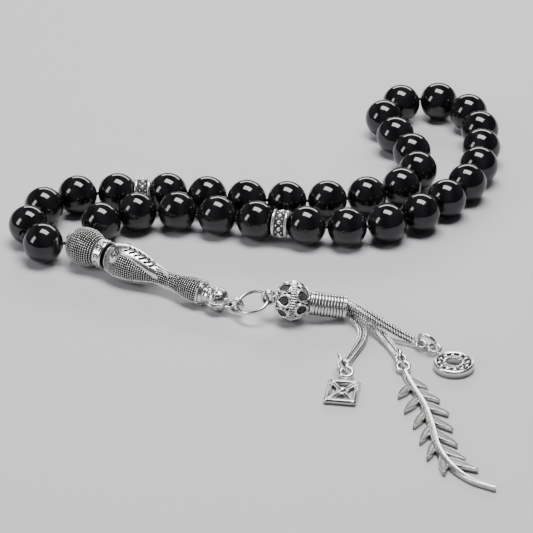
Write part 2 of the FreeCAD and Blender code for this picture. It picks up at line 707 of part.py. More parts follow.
def lattice_plaque():
    """A flat openwork plaque: a frame with a cross bar that leaves four three-cornered windows."""
    body = doc.addObject("PartDesign::Body", "lattice_plaque")
    outline = sketch_on(body, "XY_Plane")
    length, width = number("plaque_length"), number("plaque_width")
    end = PLAQUE_START + length
    polygon(outline, [
        Vector(PLAQUE_START, -width / 2, 0), Vector(end, -width / 2, 0),
        Vector(end, width / 2, 0), Vector(PLAQUE_START, width / 2, 0),
    ])
    constrain(outline, "DistanceX", 0, 1, 0, 2, formula="plaque_length")
    constrain(outline, "DistanceY", 1, 1, 1, 2, formula="plaque_width")
    plate = body.newObject("PartDesign::Pad", "plaque_plate")
    plate.Profile = outline
    plate.setExpression("Length", bound("plaque_thickness"))
    doc.recompute()
    windows = sketch_on(body, "XY_Plane")
    frame = number("plaque_frame")
    half_length, half_width = length / 2 - frame, width / 2 - frame
    middle = Vector(PLAQUE_START + length / 2, 0, 0)
    corner, tip = number("plaque_bar * 2"), number("plaque_bar * 1.3")
    for across in (-1, 1):
        polygon(windows, [
            middle + Vector(corner - half_length, across * half_width, 0),
            middle + Vector(half_length - corner, across * half_width, 0),
            middle + Vector(0, across * tip, 0),
        ])
        polygon(windows, [
            middle + Vector(across * half_length, corner - half_width, 0),
            middle + Vector(across * half_length, half_width - corner, 0),
            middle + Vector(across * tip, 0, 0),
        ])
    cut = body.newObject("PartDesign::Pocket", "plaque_windows")
    cut.Profile = windows
    cut.Type = "ThroughAll"
    cut.Reversed = True
    doc.recompute()
    if body.Shape.Volume > 0.9 * length * width * number("plaque_thickness"):
        raise ValueError("the plaque's windows were not cut")
    neck = charm_neck("plaque", PLAQUE_START - number("charm_loop_radius") + NECK_BITE, "charm_neck_height")
    return fused("charm_left", [body, neck, charm_loop("plaque")], charm_place("left"))


def rosette():
    """A round charm with a hole in its middle and a circle of half-sunk pearls."""
    body = doc.addObject("PartDesign::Body", "rosette_disc")
    outline = sketch_on(body, "XY_Plane")
    centre = Vector(ROSETTE_CENTRE, 0, 0)
    for formula in ("rosette_radius", "rosette_hole_radius"):
        circle = outline.addGeometry(Part.Circle(centre, Vector(0, 0, 1), number(formula)))
        constrain(outline, "Radius", circle, formula=formula)
    plate = body.newObject("PartDesign::Pad", "rosette_plate")
    plate.Profile = outline
    plate.setExpression("Length", bound("rosette_thickness"))
    pearls = []
    for index in range(PEARLS):
        way = heading(360 / PEARLS * (index + 0.5)) * number("rosette_pearl_circle")
        place = Placement(centre + way + Vector(0, 0, number("rosette_thickness - pearl_sink")), Rotation())
        pearls.append(primitive("Sphere", "pearl_%02d" % index, place, Radius="rosette_pearl_radius"))
    reach = ROSETTE_CENTRE - number("rosette_radius + charm_loop_radius") + 2 * NECK_BITE
    neck = charm_neck("rosette", reach,
                      "rosette_neck_height")
    return fused("charm_right", [body, neck, charm_loop("rosette"), *pearls], charm_place("right"))


# A leafy branch, laid flat. Its stem is a curve through its points, (forwards, sideways, half width)
# from the loop's centre, left side positive.
STEM = [(1.2, 0.0, 0.6), (8.0, 1.7, 0.75), (16.0, 4.0, 0.8), (24.2, 5.3, 0.85), (34.2, 6.4, 0.85),
        (42.0, 9.2, 0.75), (47.5, 13.2, 0.6), (50.8, 18.2, 0.45)]
# where each leaf leaves the stem, and where it ends
LEAVES = [
    ((4.5, 1.0), (9.4, 5.2)), ((9.8, 2.3), (14.6, 7.8)), ((15.2, 3.8), (20.4, 9.6)),
    ((20.8, 4.8), (27.0, 10.2)), ((27.0, 5.6), (33.6, 10.9)), ((33.4, 6.3), (39.6, 12.4)),
    ((39.0, 8.0), (43.8, 15.0)),
    ((7.2, 1.5), (12.6, -1.6)), ((12.8, 3.1), (19.0, -0.4)), ((18.8, 4.5), (25.6, 1.4)),
    ((25.0, 5.4), (32.2, 2.6)), ((31.4, 6.1), (38.8, 4.0)), ((37.6, 7.5), (45.0, 7.4)),
]
LEAF_HALF_WIDTHS = (0.4, 1.15, 0.2)  # at its foot, its belly and its tip


def leaf(foot, tip):
    """A leaf as a stroke of three points, widest halfway."""
    belly = tuple((a + b) / 2 for a, b in zip(foot, tip))
    return [(*point, half) for point, half in zip((foot, belly, tip), LEAF_HALF_WIDTHS)]


def stroke_outline(points):
    """The two edges of a stroke, either side of its middle line, joined across its ends."""
    edges = [[], []]
    for index, (forwards, sideways, half) in enumerate(points):
        before, after = points[max(index - 1, 0)], points[min(index + 1, len(points) - 1)]
        way = Vector(after[0] - before[0], after[1] - before[1], 0).normalize()
        for edge, side in zip(edges, (1, -1)):
            edge.append(Vector(forwards - way.y * side * half, sideways + way.x * side * half, 0))
    curves = []
    for edge in edges:
        curve = Part.BSplineCurve()
        curve.interpolate(edge)
        curves.append(curve.toShape())
    ends = [Part.LineSegment(edges[0][at], edges[1][at]).toShape() for at in (0, -1)]
    return Part.Wire(Part.__sortEdges__([curves[0], ends[1], curves[1], ends[0]]))


def branch():
    """A leafy branch cut from plate."""
    thickness = Vector(0, 0, number("branch_thickness"))
    outlines = [STEM] + [leaf(foot, tip) for foot, tip in LEAVES]
    strokes = [Part.Face(stroke_outline(points)).extrude(thickness) for points in outlines]
    plate = feature("branch_plate", strokes[0].fuse(strokes[1:]).removeSplitter())
    return fused("charm_middle", [plate, charm_loop("branch")], charm_place("middle"))


def make_tassel():
    nodes = []
    for name in PAIRS:
        nodes += [chain_strand(name, 1), chain_strand(name, -1), jump_ring(name)]
    return nodes + [lattice_plaque(), branch(), rosette()]


# --- write ------------------------------------------------------------------------------------------

# the frame's origin is on the table, under the middle of everything
MIDDLE = Vector(-1.55, -7.2, 0)

nodes = make_strand() + make_imame() + make_rings() + make_tassel_head() + make_tassel()
for node in nodes:
    node.Placement = Placement(-MIDDLE, Rotation()).multiply(node.Placement)
doc.recompute()
for item in doc.Objects:
    if {"Invalid", "Error"} & set(item.State):
        raise ValueError("%s failed to build: %s" % (item.Label, item.State))
for node in nodes:
    if node.Shape.isNull() or not node.Shape.isValid():
        raise ValueError("%s has no valid shape" % node.Label)
os.makedirs("parts", exist_ok=True)
for node in nodes:
    node.Shape.exportStep("parts/%s.step" % node.Label)
print("%d pieces written" % len(nodes))
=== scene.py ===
import json
import math

import bpy
import numpy as np
from mathutils import Matrix, Vector, noise


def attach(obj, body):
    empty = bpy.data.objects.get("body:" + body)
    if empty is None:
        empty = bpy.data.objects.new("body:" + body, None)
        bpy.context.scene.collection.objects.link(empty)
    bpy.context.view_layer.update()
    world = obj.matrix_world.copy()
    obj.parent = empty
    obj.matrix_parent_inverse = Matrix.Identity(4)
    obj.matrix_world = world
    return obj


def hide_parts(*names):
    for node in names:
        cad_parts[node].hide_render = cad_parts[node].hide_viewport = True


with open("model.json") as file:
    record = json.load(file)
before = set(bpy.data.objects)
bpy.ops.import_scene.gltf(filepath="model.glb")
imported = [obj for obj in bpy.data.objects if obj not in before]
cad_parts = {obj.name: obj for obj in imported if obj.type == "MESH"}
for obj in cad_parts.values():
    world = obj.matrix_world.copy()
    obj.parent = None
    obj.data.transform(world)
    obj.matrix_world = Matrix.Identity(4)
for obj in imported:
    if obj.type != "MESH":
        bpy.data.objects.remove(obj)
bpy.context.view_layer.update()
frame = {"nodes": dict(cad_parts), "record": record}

# Misbaha prayer beads, in millimetres until a piece is finished, then in metres. z = 0 is the table.
MM = 0.001
TURN = 2 * math.pi
UP = Vector((0, 0, 1))
# the layout's own numbers are counted from another origin: this point of it is the frame's
MIDDLE = Vector((-1.55, -7.2, 0.0))
JOINTS = {joint["name"]: joint for joint in frame["record"]["behaviour"]["joints"]}


def at(point):
    """A point of the layout, in the frame."""
    return Vector(point) - MIDDLE


def joint_point(name):
    return Vector(JOINTS[name]["pos_m"]) / MM


def heading(degrees):
    """The level direction this far round from +X."""
    return Vector((math.cos(math.radians(degrees)), math.sin(math.radians(degrees)), 0))


# --- shapes as vertices and faces ----------------------------------------------------------------

class Shape:
    """Vertices, faces and how dark each vertex is painted, from 0, bright, to 1, darkest: sulphide in
    hollows, and painted shade on inner, lower and hidden faces.
    """

    def __init__(self, verts=(), faces=(), tarnish_and_shade=None):
        self.verts = np.array(verts, float).reshape(-1, 3)
        self.faces = [tuple(face) for face in faces]
        self.tarnish_and_shade = np.zeros(len(self.verts)) if tarnish_and_shade is None else np.array(tarnish_and_shade, float)

    def add(self, other):
        shift = len(self.verts)
        self.verts = np.vstack([self.verts, other.verts])
        self.faces += [tuple(index + shift for index in face) for face in other.faces]
        self.tarnish_and_shade = np.concatenate([self.tarnish_and_shade, other.tarnish_and_shade])
        return self

    def reach(self):
        """How far each vertex lies from own Z."""
        return np.hypot(self.verts[:, 0], self.verts[:, 1])

    def moved(self, place):
        """The shape in another place: a 4x4 matrix in millimetres."""
        matrix = np.array(place)
        return Shape(self.verts @ matrix[:3, :3].T + matrix[:3, 3], self.faces, self.tarnish_and_shade)


def joined(shapes):
    whole = Shape()
    for shape in shapes:
        whole.add(shape)
    return whole


def place(origin, own_x, own_z):
    """A 4x4 matrix from an origin, own X (near enough) and own Z (exact)."""
    own_z = Vector(own_z).normalized()
    own_y = own_z.cross(Vector(own_x)).normalized()
    own_x = own_y.cross(own_z)
    matrix = Matrix((own_x, own_y, own_z)).transposed().to_4x4()
    matrix.translation = Vector(origin)
    return matrix


def shifted(x, y, z):
    return Matrix.Translation((x, y, z))


def turned_about(axis, degrees):
    return Matrix.Rotation(math.radians(degrees), 4, axis)


def grid(points, tarnish_and_shade=None, wrap=False, flip=False):
    """Quads over a grid of points, rows by columns. Wrap joins the last column to the first."""
    rows, columns = points.shape[:2]
    across = columns if wrap else columns - 1
    index = np.arange(rows * columns).reshape(rows, columns)
    a, b = index[:-1, :across], np.roll(index, -1, 1)[:-1, :across]
    c, d = np.roll(index, -1, 1)[1:, :across], index[1:, :across]
    order = (a, d, c, b) if flip else (a, b, c, d)
    faces = np.stack([part.ravel() for part in order], 1).tolist()
    return Shape(points.reshape(-1, 3), faces, None if tarnish_and_shade is None else tarnish_and_shade.ravel())


def lathe(outline, around, bump=None):
    """A surface turned about own Z from (radius, height) pairs. bump(heights, angles, radii) gives each
    point's rise and how dark it is painted: sulphide in hollows, and painted shade where shade falls."""
    outline = np.array(outline, float)
    angles = np.arange(around) / around * TURN
    radii = np.repeat(outline[:, :1], around, 1)
    heights = np.repeat(outline[:, 1:2], around, 1)
    turns = np.repeat(angles[None], len(outline), 0)
    tarnish_and_shade = np.zeros_like(radii)
    if bump:
        rise, tarnish_and_shade = bump(heights, turns, radii)
        radii = radii + rise
    points = np.stack([radii * np.cos(turns), radii * np.sin(turns), heights], 2)
    return grid(points, tarnish_and_shade, wrap=True)


def closed_lathe(outline, around, bump=None):
    """A turned ring whose outline closes on itself."""
    return lathe(list(outline) + [outline[0]], around, bump)


def arc_point(start, corner, end, share):
    """A point on the curve that leaves start towards a corner and turns in to end."""
    return start * (1 - share) ** 2 + corner * 2 * share * (1 - share) + end * share ** 2


def rounded(corners, radius, steps=4):
    """An open outline of (radius, height) corners with small round edges."""
    corners = [np.array(corner, float) for corner in corners]
    out = [corners[0]]
    for before, corner, after in zip(corners, corners[1:], corners[2:]):
        start = corner + (before - corner) * min(0.5, radius / np.linalg.norm(before - corner))
        end = corner + (after - corner) * min(0.5, radius / np.linalg.norm(after - corner))
        out += [arc_point(start, corner, end, step / steps) for step in range(steps + 1)]
    return out + [corners[-1]]


def wire(path, radius, sides=10, closed=False, across=1.0):
    """A round wire along points. radius may be one number or one for each point; across widens the
    section sideways. An open wire's ends are domed."""
    path = np.array(path, float)
    count = len(path)
    radii = np.full(count, radius, float) if np.isscalar(radius) else np.array(radius, float)
    ahead = np.roll(path, -1, 0) - np.roll(path, 1, 0) if closed else np.gradient(path, axis=0)
    ahead /= np.linalg.norm(ahead, axis=1)[:, None]
    # each section's own side is the last one's, carried along without twist
    side = np.cross(ahead[0], (0.03, 0.02, 1.0))
    beside = []
    for way in ahead:
        side = side - way * side.dot(way)
        side = side / np.linalg.norm(side)
        beside.append(side)
    beside = np.array(beside)
    third = np.cross(ahead, beside)
    if closed:
        last = beside[-1] - ahead[0] * beside[-1].dot(ahead[0])
        twist = math.atan2(last.dot(third[0]), last.dot(beside[0]))
        spread = (-twist * np.arange(count) / count)[:, None]
        beside, third = (beside * np.cos(spread) + third * np.sin(spread),
                         third * np.cos(spread) - beside * np.sin(spread))
    turns = np.arange(sides) / sides * TURN
    around = (np.cos(turns)[None, :, None] * beside[:, None] * across
              + np.sin(turns)[None, :, None] * third[:, None])
    rings = path[:, None] + around * radii[:, None, None]
    if closed:
        return grid(np.concatenate([rings, rings[:1]]), wrap=True, flip=True)
    caps = []
    for end, sign in ((0, -1), (-1, 1)):
        dome = [rings[end]]
        for lift, draw in ((0.5, 0.87), (0.87, 0.5), (1.0, 0.02)):
            dome.append(path[end] + around[end] * radii[end] * draw + ahead[end] * radii[end] * lift * sign)
        caps.append(dome)
    return grid(np.concatenate([caps[0][:0:-1], rings, caps[1][1:]]), wrap=True, flip=True)


def circle(radius, turns=1.0, count=48, rise=0.0, start=0.0):
    """Points round own Z, with an optional rise along it."""
    share = np.linspace(0, 1, int(count * turns) + 1)
    angle = start + share * turns * TURN
    return np.stack([radius * np.cos(angle), radius * np.sin(angle), rise * (share - 0.5)], 1)


def full_circle(radius, count, height=0.0):
    """The points of a closed circle, the first not repeated."""
    return circle(radius, count=count)[:-1] + (0, 0, height)


def ring(radius, thickness, count=56, sides=12):
    """A closed wire ring whose butted joint shows as a fine cut. thickness is the wire's radius."""
    shape = wire(full_circle(radius, count), thickness, sides, closed=True)
    # the inner side is painted darker as shade; the butted joint is a dark cut
    inside = np.clip((radius - 0.4 * thickness - shape.reach()) / (0.5 * thickness), 0, 0.6)
    cut = np.abs(np.arctan2(shape.verts[:, 1], shape.verts[:, 0])) < 0.04
    shape.tarnish_and_shade = np.where(cut, 0.9, inside)
    return shape


def ball(radius, centre=(0, 0, 0), around=10, rows=7):
    """A small solid granule."""
    tilt = np.linspace(0.02, math.pi - 0.02, rows)
    outline = np.stack([radius * np.sin(tilt), -radius * np.cos(tilt)], 1)
    return lathe(outline, around).moved(shifted(*centre))


def smooth_way(corners, step=0.12):
    """Points on the smooth line that touches a run of corners at the middle of each span."""
    corners = [np.array(corner, float) for corner in corners]
    middles = [(a + b) / 2 for a, b in zip(corners, corners[1:])]
    middles[0], middles[-1] = corners[0], corners[-1]
    out = [middles[0]]
    for start, corner, end in zip(middles, corners[1:-1], middles[1:]):
        steps = max(3, int(np.linalg.norm(end - start) / step))
        out += [arc_point(start, corner, end, share) for share in np.arange(1, steps + 1) / steps]
    return np.array(out)


def spaced(points, pitch):
    """Points and directions at an even pitch along a line."""
    steps = np.linalg.norm(np.diff(points, axis=0), axis=1)
    run = np.concatenate([[0], np.cumsum(steps)])
    stops = np.linspace(0, run[-1], max(2, int(round(run[-1] / pitch)) + 1))
    out = np.stack([np.interp(stops, run, points[:, axis]) for axis in range(3)], 1)
    ahead = np.gradient(out, axis=0)
    return out, ahead / np.linalg.norm(ahead, axis=1)[:, None]


def finished(name, shape, body, material, nodes=()):
    """Makes the piece in metres, riding on its body and standing for its CAD nodes."""
    mesh = bpy.data.meshes.new(name)
    mesh.from_pydata((shape.verts * MM).tolist(), [], shape.faces)
    mesh.validate()
    # how dark each vertex is painted: sulphide in hollows, and painted shade on inner, lower and hidden faces
    mesh.attributes.new("tarnish_and_shade", "FLOAT", "POINT").data.foreach_set("value", shape.tarnish_and_shade)
    mesh.polygons.foreach_set("use_smooth", [True] * len(mesh.polygons))
    mesh.materials.append(material)
    piece = bpy.data.objects.new(name, mesh)
    bpy.context.scene.collection.objects.link(piece)
    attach(piece, body)
    if nodes:
        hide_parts(*nodes)
    return piece


# --- materials -----------------------------------------------------------------------------------

def node(tree, kind, **inputs):
    """A new node with its inputs set: a socket is linked, anything else is its value."""
    made = tree.nodes.new(kind)
    for name, value in inputs.items():
        feed(tree, made.inputs[name.replace("_", " ")], value)
    return made


def feed(tree, socket, value):
    if isinstance(value, bpy.types.NodeSocket):
        tree.links.new(value, socket)
    else:
        socket.default_value = value


def reckon(tree, operation, *values):
    """The result of a Math node."""
    made = tree.nodes.new("ShaderNodeMath")
    made.operation = operation
    for socket, value in zip(made.inputs, values):
        feed(tree, socket, value)
    return made.outputs["Value"]


def shade(tree, share, dark, light):
    """A colour between two greys."""
    ramp = node(tree, "ShaderNodeValToRGB", Fac=share)
    ramp.color_ramp.elements[0].color = (*dark, 1)
    ramp.color_ramp.elements[1].color = (*light, 1)
    return ramp.outputs["Color"]


def tarnish_and_shade_group():
    """Silver darkened by sulphide in its hollows and by painted shade on inner, lower and hidden faces:
    colour, roughness and a fine surface height.
    """
    group = bpy.data.node_groups.new("tarnished_and_shaded_silver", "ShaderNodeTree")
    for name, kind in (("Bright", "NodeSocketColor"), ("Dark", "NodeSocketColor"),
                       ("Polish", "NodeSocketFloat"), ("Stain", "NodeSocketFloat")):
        group.interface.new_socket(name, in_out="INPUT", socket_type=kind)
    for name, kind in (("Color", "NodeSocketColor"), ("Roughness", "NodeSocketFloat"),
                       ("Height", "NodeSocketFloat")):
        group.interface.new_socket(name, in_out="OUTPUT", socket_type=kind)
    inside, outside = group.nodes.new("NodeGroupInput"), group.nodes.new("NodeGroupOutput")
    tarnish_and_shade = group.nodes.new("ShaderNodeAttribute")
    tarnish_and_shade.attribute_name = "tarnish_and_shade"
    where = group.nodes.new("ShaderNodeTexCoord").outputs["Object"]
    cloud = node(group, "ShaderNodeTexNoise", Vector=where, Scale=900.0, Detail=6.0, Roughness=0.6)
    scratch = node(group, "ShaderNodeTexNoise", Vector=where, Scale=5200.0, Detail=3.0, Roughness=0.5)
    patches = node(group, "ShaderNodeMapRange", Value=cloud.outputs["Fac"], From_Min=0.52, From_Max=0.74)
    stain = reckon(group, "MULTIPLY", patches.outputs["Result"], inside.outputs["Stain"])
    # how dark each point is: the mesh's sulphide and painted shade, or a random tarnish patch
    depth = reckon(group, "MAXIMUM", tarnish_and_shade.outputs["Fac"], stain)
    colour = group.nodes.new("ShaderNodeMix")
    colour.data_type = "RGBA"
    for name, value in (("Factor", depth), ("A", inside.outputs["Bright"]), ("B", inside.outputs["Dark"])):
        group.links.new(value, colour.inputs[name])
    rough = reckon(group, "MULTIPLY_ADD", depth, 0.45, inside.outputs["Polish"])
    rough = reckon(group, "MULTIPLY_ADD", scratch.outputs["Fac"], 0.16, rough)
    height = reckon(group, "ADD", cloud.outputs["Fac"], scratch.outputs["Fac"])
    for name, value in (("Color", colour.outputs["Result"]), ("Roughness", rough), ("Height", height)):
        group.links.new(value, outside.inputs[name])
    return group


def new_material(name):
    material = bpy.data.materials.new(name)
    material.use_nodes = True
    return material, material.node_tree, material.node_tree.nodes["Principled BSDF"]


def silver(name, bright, dark, polish, stain, bump):
    """One finish of the same silver, dark with sulphide in its hollows and with painted shade where the mesh
    says so.
    """
    material, tree, shader = new_material(name)
    tarnish_and_shade_node = tree.nodes.new("ShaderNodeGroup")
    tarnish_and_shade_node.node_tree = TARNISHED_AND_SHADED_SILVER
    settings = (("Bright", (*bright, 1)), ("Dark", (*dark, 1)), ("Polish", polish), ("Stain", stain))
    for setting, value in settings:
        tarnish_and_shade_node.inputs[setting].default_value = value
    rise = node(tree, "ShaderNodeBump", Strength=bump, Distance=0.00004, Height=tarnish_and_shade_node.outputs["Height"])
    feed(tree, shader.inputs["Base Color"], tarnish_and_shade_node.outputs["Color"])
    feed(tree, shader.inputs["Roughness"], tarnish_and_shade_node.outputs["Roughness"])
    feed(tree, shader.inputs["Normal"], rise.outputs["Normal"])
    shader.inputs["Metallic"].default_value = 1.0
    return material


def onyx():
    """Black agate: very dark, with faint grey bands and clouds under a glassy polish."""
    material, tree, shader = new_material("polished_onyx")
    where = tree.nodes.new("ShaderNodeTexCoord").outputs["Object"]
    cloud = node(tree, "ShaderNodeTexNoise", Vector=where, Scale=260.0, Detail=5.0, Roughness=0.55)
    band = node(tree, "ShaderNodeTexWave", Vector=where, Scale=70.0, Distortion=9.0, Detail=4.0)
    mixed = reckon(tree, "MULTIPLY", cloud.outputs["Fac"], band.outputs["Fac"])
    colour = shade(tree, mixed, (0.0035, 0.0035, 0.004), (0.016, 0.016, 0.018))
    feed(tree, shader.inputs["Base Color"], colour)
    haze = node(tree, "ShaderNodeMapRange", Value=cloud.outputs["Fac"], To_Min=0.04, To_Max=0.11)
    feed(tree, shader.inputs["Roughness"], haze.outputs["Result"])
    shader.inputs["IOR"].default_value = 1.54
    return material


def black_thread():
    """Twisted black thread, the grooves of its lay painted darker as shade."""
    material, tree, shader = new_material("twisted_thread")
    where = tree.nodes.new("ShaderNodeTexCoord").outputs["Object"]
    lay = node(tree, "ShaderNodeTexWave", Vector=where, Scale=900.0, Distortion=1.5)
    fibre = node(tree, "ShaderNodeTexNoise", Vector=where, Scale=9000.0, Detail=4.0)
    # painted shade: darker in the grooves of the lay, lighter on its ridges
    colour = shade(tree, lay.outputs["Fac"], (0.004, 0.004, 0.004), (0.03, 0.03, 0.032))
    feed(tree, shader.inputs["Base Color"], colour)
    height = reckon(tree, "ADD", lay.outputs["Fac"], fibre.outputs["Fac"])
    rise = node(tree, "ShaderNodeBump", Strength=0.6, Distance=0.0001, Height=height)
    feed(tree, shader.inputs["Normal"], rise.outputs["Normal"])
    shader.inputs["Roughness"].default_value = 0.8
    return material


TARNISHED_AND_SHADED_SILVER = tarnish_and_shade_group()
POLISHED = silver("polished_silver", (0.78, 0.77, 0.75), (0.012, 0.011, 0.01), 0.12, 0.3, 0.25)
GRAINED = silver("granulated_silver", (0.86, 0.85, 0.83), (0.006, 0.006, 0.006), 0.16, 0.3, 0.2)
WOVEN = silver("chain_silver", (0.78, 0.77, 0.75), (0.008, 0.008, 0.007), 0.16, 0.4, 0.2)
ONYX = onyx()
THREAD = black_thread()


# --- beads and spacers -----------------------------------------------------------------------------

BEAD_RADIUS, BORE_RADIUS, BEADS = 5.0, 1.0, 33


def bead_shape():
    """A polished ball drilled through, with softened edges at the hole."""
    softening = 0.035
    lip = math.asin(BORE_RADIUS / BEAD_RADIUS) + softening
    tilts = np.linspace(lip, math.pi - lip, 60)
    outside = [(BEAD_RADIUS * math.sin(t), -BEAD_RADIUS * math.cos(t)) for t in tilts]
    end = outside[-1][1]
    flare, straight = BORE_RADIUS + 0.05, end - 0.12
    hole = [(flare, end + 0.02), (BORE_RADIUS, straight), (BORE_RADIUS, -straight), (flare, -end - 0.02)]
    return closed_lathe(outside + hole, 80)


def spacer_shape():
    """Two rolled rims with a granulated band between, hollowed at each end for the beads."""
    band_radius, band_half, granules = 3.1, 1.22, 11
    rim = rounded([(band_radius, -1.2), (3.55, -1.25), (3.62, -1.6), (3.55, -1.98), (3.2, -2.02)], 0.3)
    seat = [(2.9, -1.75), (2.4, -1.35), (1.6, -1.15), (BORE_RADIUS, -1.1), (BORE_RADIUS, 0.0)]
    half = [(band_radius, 0.0)] + rim + seat
    body = closed_lathe(half + [(r, -z) for r, z in reversed(half[1:-1])], 96)
    body.tarnish_and_shade = np.where((np.abs(body.verts[:, 2]) < band_half) & (body.reach() < 3.5), 0.9, 0.0)
    for index in range(granules):
        turn = index / granules * TURN
        body.add(ball(0.52, (3.14 * math.cos(turn), 3.14 * math.sin(turn), 0), 14, 9))
        between = turn + math.pi / granules
        for side in (-0.72, 0.72):
            body.add(ball(0.22, (3.2 * math.cos(between), 3.2 * math.sin(between), side)))
    return body


def joint_place(name, spin):
    """Own Z along a joint's axis, own origin at its point, turned about it by a spin in degrees."""
    return place(joint_point(name), (0, 0, 1), JOINTS[name]["axis"]) @ turned_about("Z", spin)


def make_beads():
    bead, spacer = bead_shape(), spacer_shape()
    for index in range(1, BEADS + 1):
        name = "bead_%02d" % index
        # each bead shows another part of its banding
        shape = bead.moved(joint_place(name + "_spin", 37.0 * index))
        finished("onyx_" + name, shape, name + "_turn", ONYX, [name])
    for name in ("spacer_1", "spacer_2"):
        shape = spacer.moved(joint_place(name + "_spin", 9.0))
        finished("silver_" + name, shape, name + "_turn", GRAINED, nodes=[name])
    for name in ("string", "cord_ends"):
        frame["nodes"][name].data.materials.clear()
        frame["nodes"][name].data.materials.append(THREAD)


# --- imame -----------------------------------------------------------------------------------------

IMAME_HEADING, WAIST_HEIGHT, BALL_HEIGHT = -34.0, 4.55, 3.05
WAIST_STATION, BALL_STATION = 17.0, 44.4
IMAME_AROUND = 288  # columns round the turned pieces, a whole number for each count of studs
IMAME_SLOPE = math.asin((WAIST_HEIGHT - BALL_HEIGHT) / (BALL_STATION - WAIST_STATION))
IMAME_AXIS = heading(IMAME_HEADING) * math.cos(IMAME_SLOPE) - Vector((0, 0, math.sin(IMAME_SLOPE)))
IMAME_START = at((-48.57, 3.34, BALL_HEIGHT + math.sin(IMAME_SLOPE) * BALL_STATION))
# own Z runs along the imame, own X level towards the far side, own Y up
IMAME = place(IMAME_START, heading(IMAME_HEADING + 90), IMAME_AXIS)


def level_arc(station, top_radius, top_station, low_radius, low_station):
    """The radius of an outline arc that runs level at its top station."""
    drop, run = top_radius - low_radius, low_station - top_station
    arc = (drop ** 2 + run ** 2) / (2 * drop)
    return top_radius - arc + np.sqrt(np.maximum(arc ** 2 - (station - top_station) ** 2, 0))


def wave(station, start_radius, start, end_radius, end):
    """Two equal arcs that run level at both stations."""
    share = (station - start) / (end - start)
    ease = np.where(share < 0.5, 2 * share ** 2, 1 - 2 * (1 - share) ** 2)
    return start_radius + (end_radius - start_radius) * ease


def grip_radius(station):
    station = np.asarray(station, float)
    return np.select(
        [station < 17.0, station < 30.2, station < 38.5],
        [level_arc(station, 4.5, 17.0, 3.4, 12.5), wave(station, 4.5, 17.0, 1.95, 30.2),
         wave(station, 1.95, 30.2, 3.2, 38.5)],
        level_arc(station, 3.2, 38.5, 2.3, 41.0))


def studs(heights, turns, start, pitch, around, ridged):
    """Rows of raised squares with dark gaps. ridged is how far the rings run on between the squares."""
    row = np.abs(np.sin(math.pi * (heights - start) / pitch))
    column = np.maximum(np.abs(np.sin(turns * around / 2)), ridged)
    square = np.minimum(row, column)
    top = np.clip((square - 0.3) / 0.6, 0, 1) ** 0.7
    return 0.34 * (top - 0.85), np.clip((0.8 - square) / 0.18, 0, 1)


def head_bump(heights, turns, radii):
    """Studs over the bulb, which stays plain at its mouth and at its collar."""
    rise, tarnish_and_shade = studs(heights, turns, 1.4, 0.56, 48, 0.0)
    plain = (heights < 1.4) | (heights > 8.7) | (radii < 2.95)
    # the plain bulb under the collar is painted dark as shade; the other plain parts a little darker
    plain_tarnish_and_shade = np.where(heights > 8.7, 0.8, 0.15)
    return np.where(plain, 0, rise), np.where(plain, plain_tarnish_and_shade, tarnish_and_shade)


def grip_bump(heights, turns, radii):
    """Studs of four sizes along the grip, plain at both ends. Each row is the zone's last station, the
    pitch of its rings, the studs in a ring and how far the rings run on between them."""
    first, plain = 12.9, 0 * radii
    zones = [(16.0, 0.42, 72, 0.15), (25.6, 0.56, 48, 0.0), (33.8, 0.56, 24, 0.1), (40.3, 0.62, 36, 0.55)]
    bumps = [studs(heights, turns, 13.0, *zone[1:]) for zone in zones]
    where = [heights < first] + [heights < zone[0] for zone in zones]
    rise = np.select(where, [plain] + [bump[0] for bump in bumps], 0.0)
    tarnish_and_shade = np.select(where, [plain] + [bump[1] for bump in bumps], 0.0)
    return rise, tarnish_and_shade


def scroll_bump(heights, turns, radii):
    """Engraved curls round the collar: twelve open rings, each with a dot inside, every other turned."""
    radius, middle, curls, curl_radius, cut = 3.7, 10.35, 12, 0.55, 0.16
    across, cell = radius * turns, TURN * radius / curls
    number = np.floor(across / cell)
    side = across - (number + 0.5) * cell
    along = (heights - middle) * np.where(number % 2 == 0, 1, -1)
    open_side = np.abs(np.arctan2(along, side)) < 0.6
    engraved = (np.abs(np.hypot(side, along) - curl_radius) < 0.14) & ~open_side
    engraved |= np.hypot(side - 0.1, along) < 0.16
    engraved &= np.abs(heights - middle) < 1.0
    return np.where(engraved, -cut, 0.0), np.where(engraved, 1.0, 0.0)


def make_imame_head():
    """The studded bulb and, as a piece of its own, the engraved collar."""
    widest, bulb_radius = 4.8, 4.8
    stations = np.linspace(0.75, 8.8, 104)
    bulb = np.where(stations < widest, level_arc(stations, bulb_radius, widest, 3.0, 0.6),
                    level_arc(stations, bulb_radius, widest, 2.9, 9.2))
    mouth = rounded([(1.7, 3.0), (1.7, 0.62), (2.9, 0.55), (bulb[0], stations[0])], 0.25)
    outline = mouth + list(zip(bulb, stations)) + [(2.95, 9.15)]
    shape = lathe(outline, IMAME_AROUND, head_bump)
    collar_radius = 3.72
    collar = rounded([(2.9, 9.2), (3.6, 9.12), (collar_radius, 9.5)], 0.15)
    collar += [(collar_radius, z) for z in np.linspace(9.6, 11.1, 34)]
    collar += rounded([(collar_radius, 11.2), (3.6, 11.55), (2.9, 11.5), (2.85, 12.0), (2.9, 12.55)], 0.15)
    band = lathe(collar, IMAME_AROUND, scroll_bump)
    # the collar's inner lips and neck are painted dark as shade
    band.tarnish_and_shade = np.maximum(band.tarnish_and_shade, np.where(band.reach() < 3.2, 1.0, 0.0))
    finished("imame_bulb", shape.moved(IMAME), "imame", GRAINED, nodes=["imame_head"])
    finished("imame_collar", band.moved(IMAME), "imame", POLISHED)


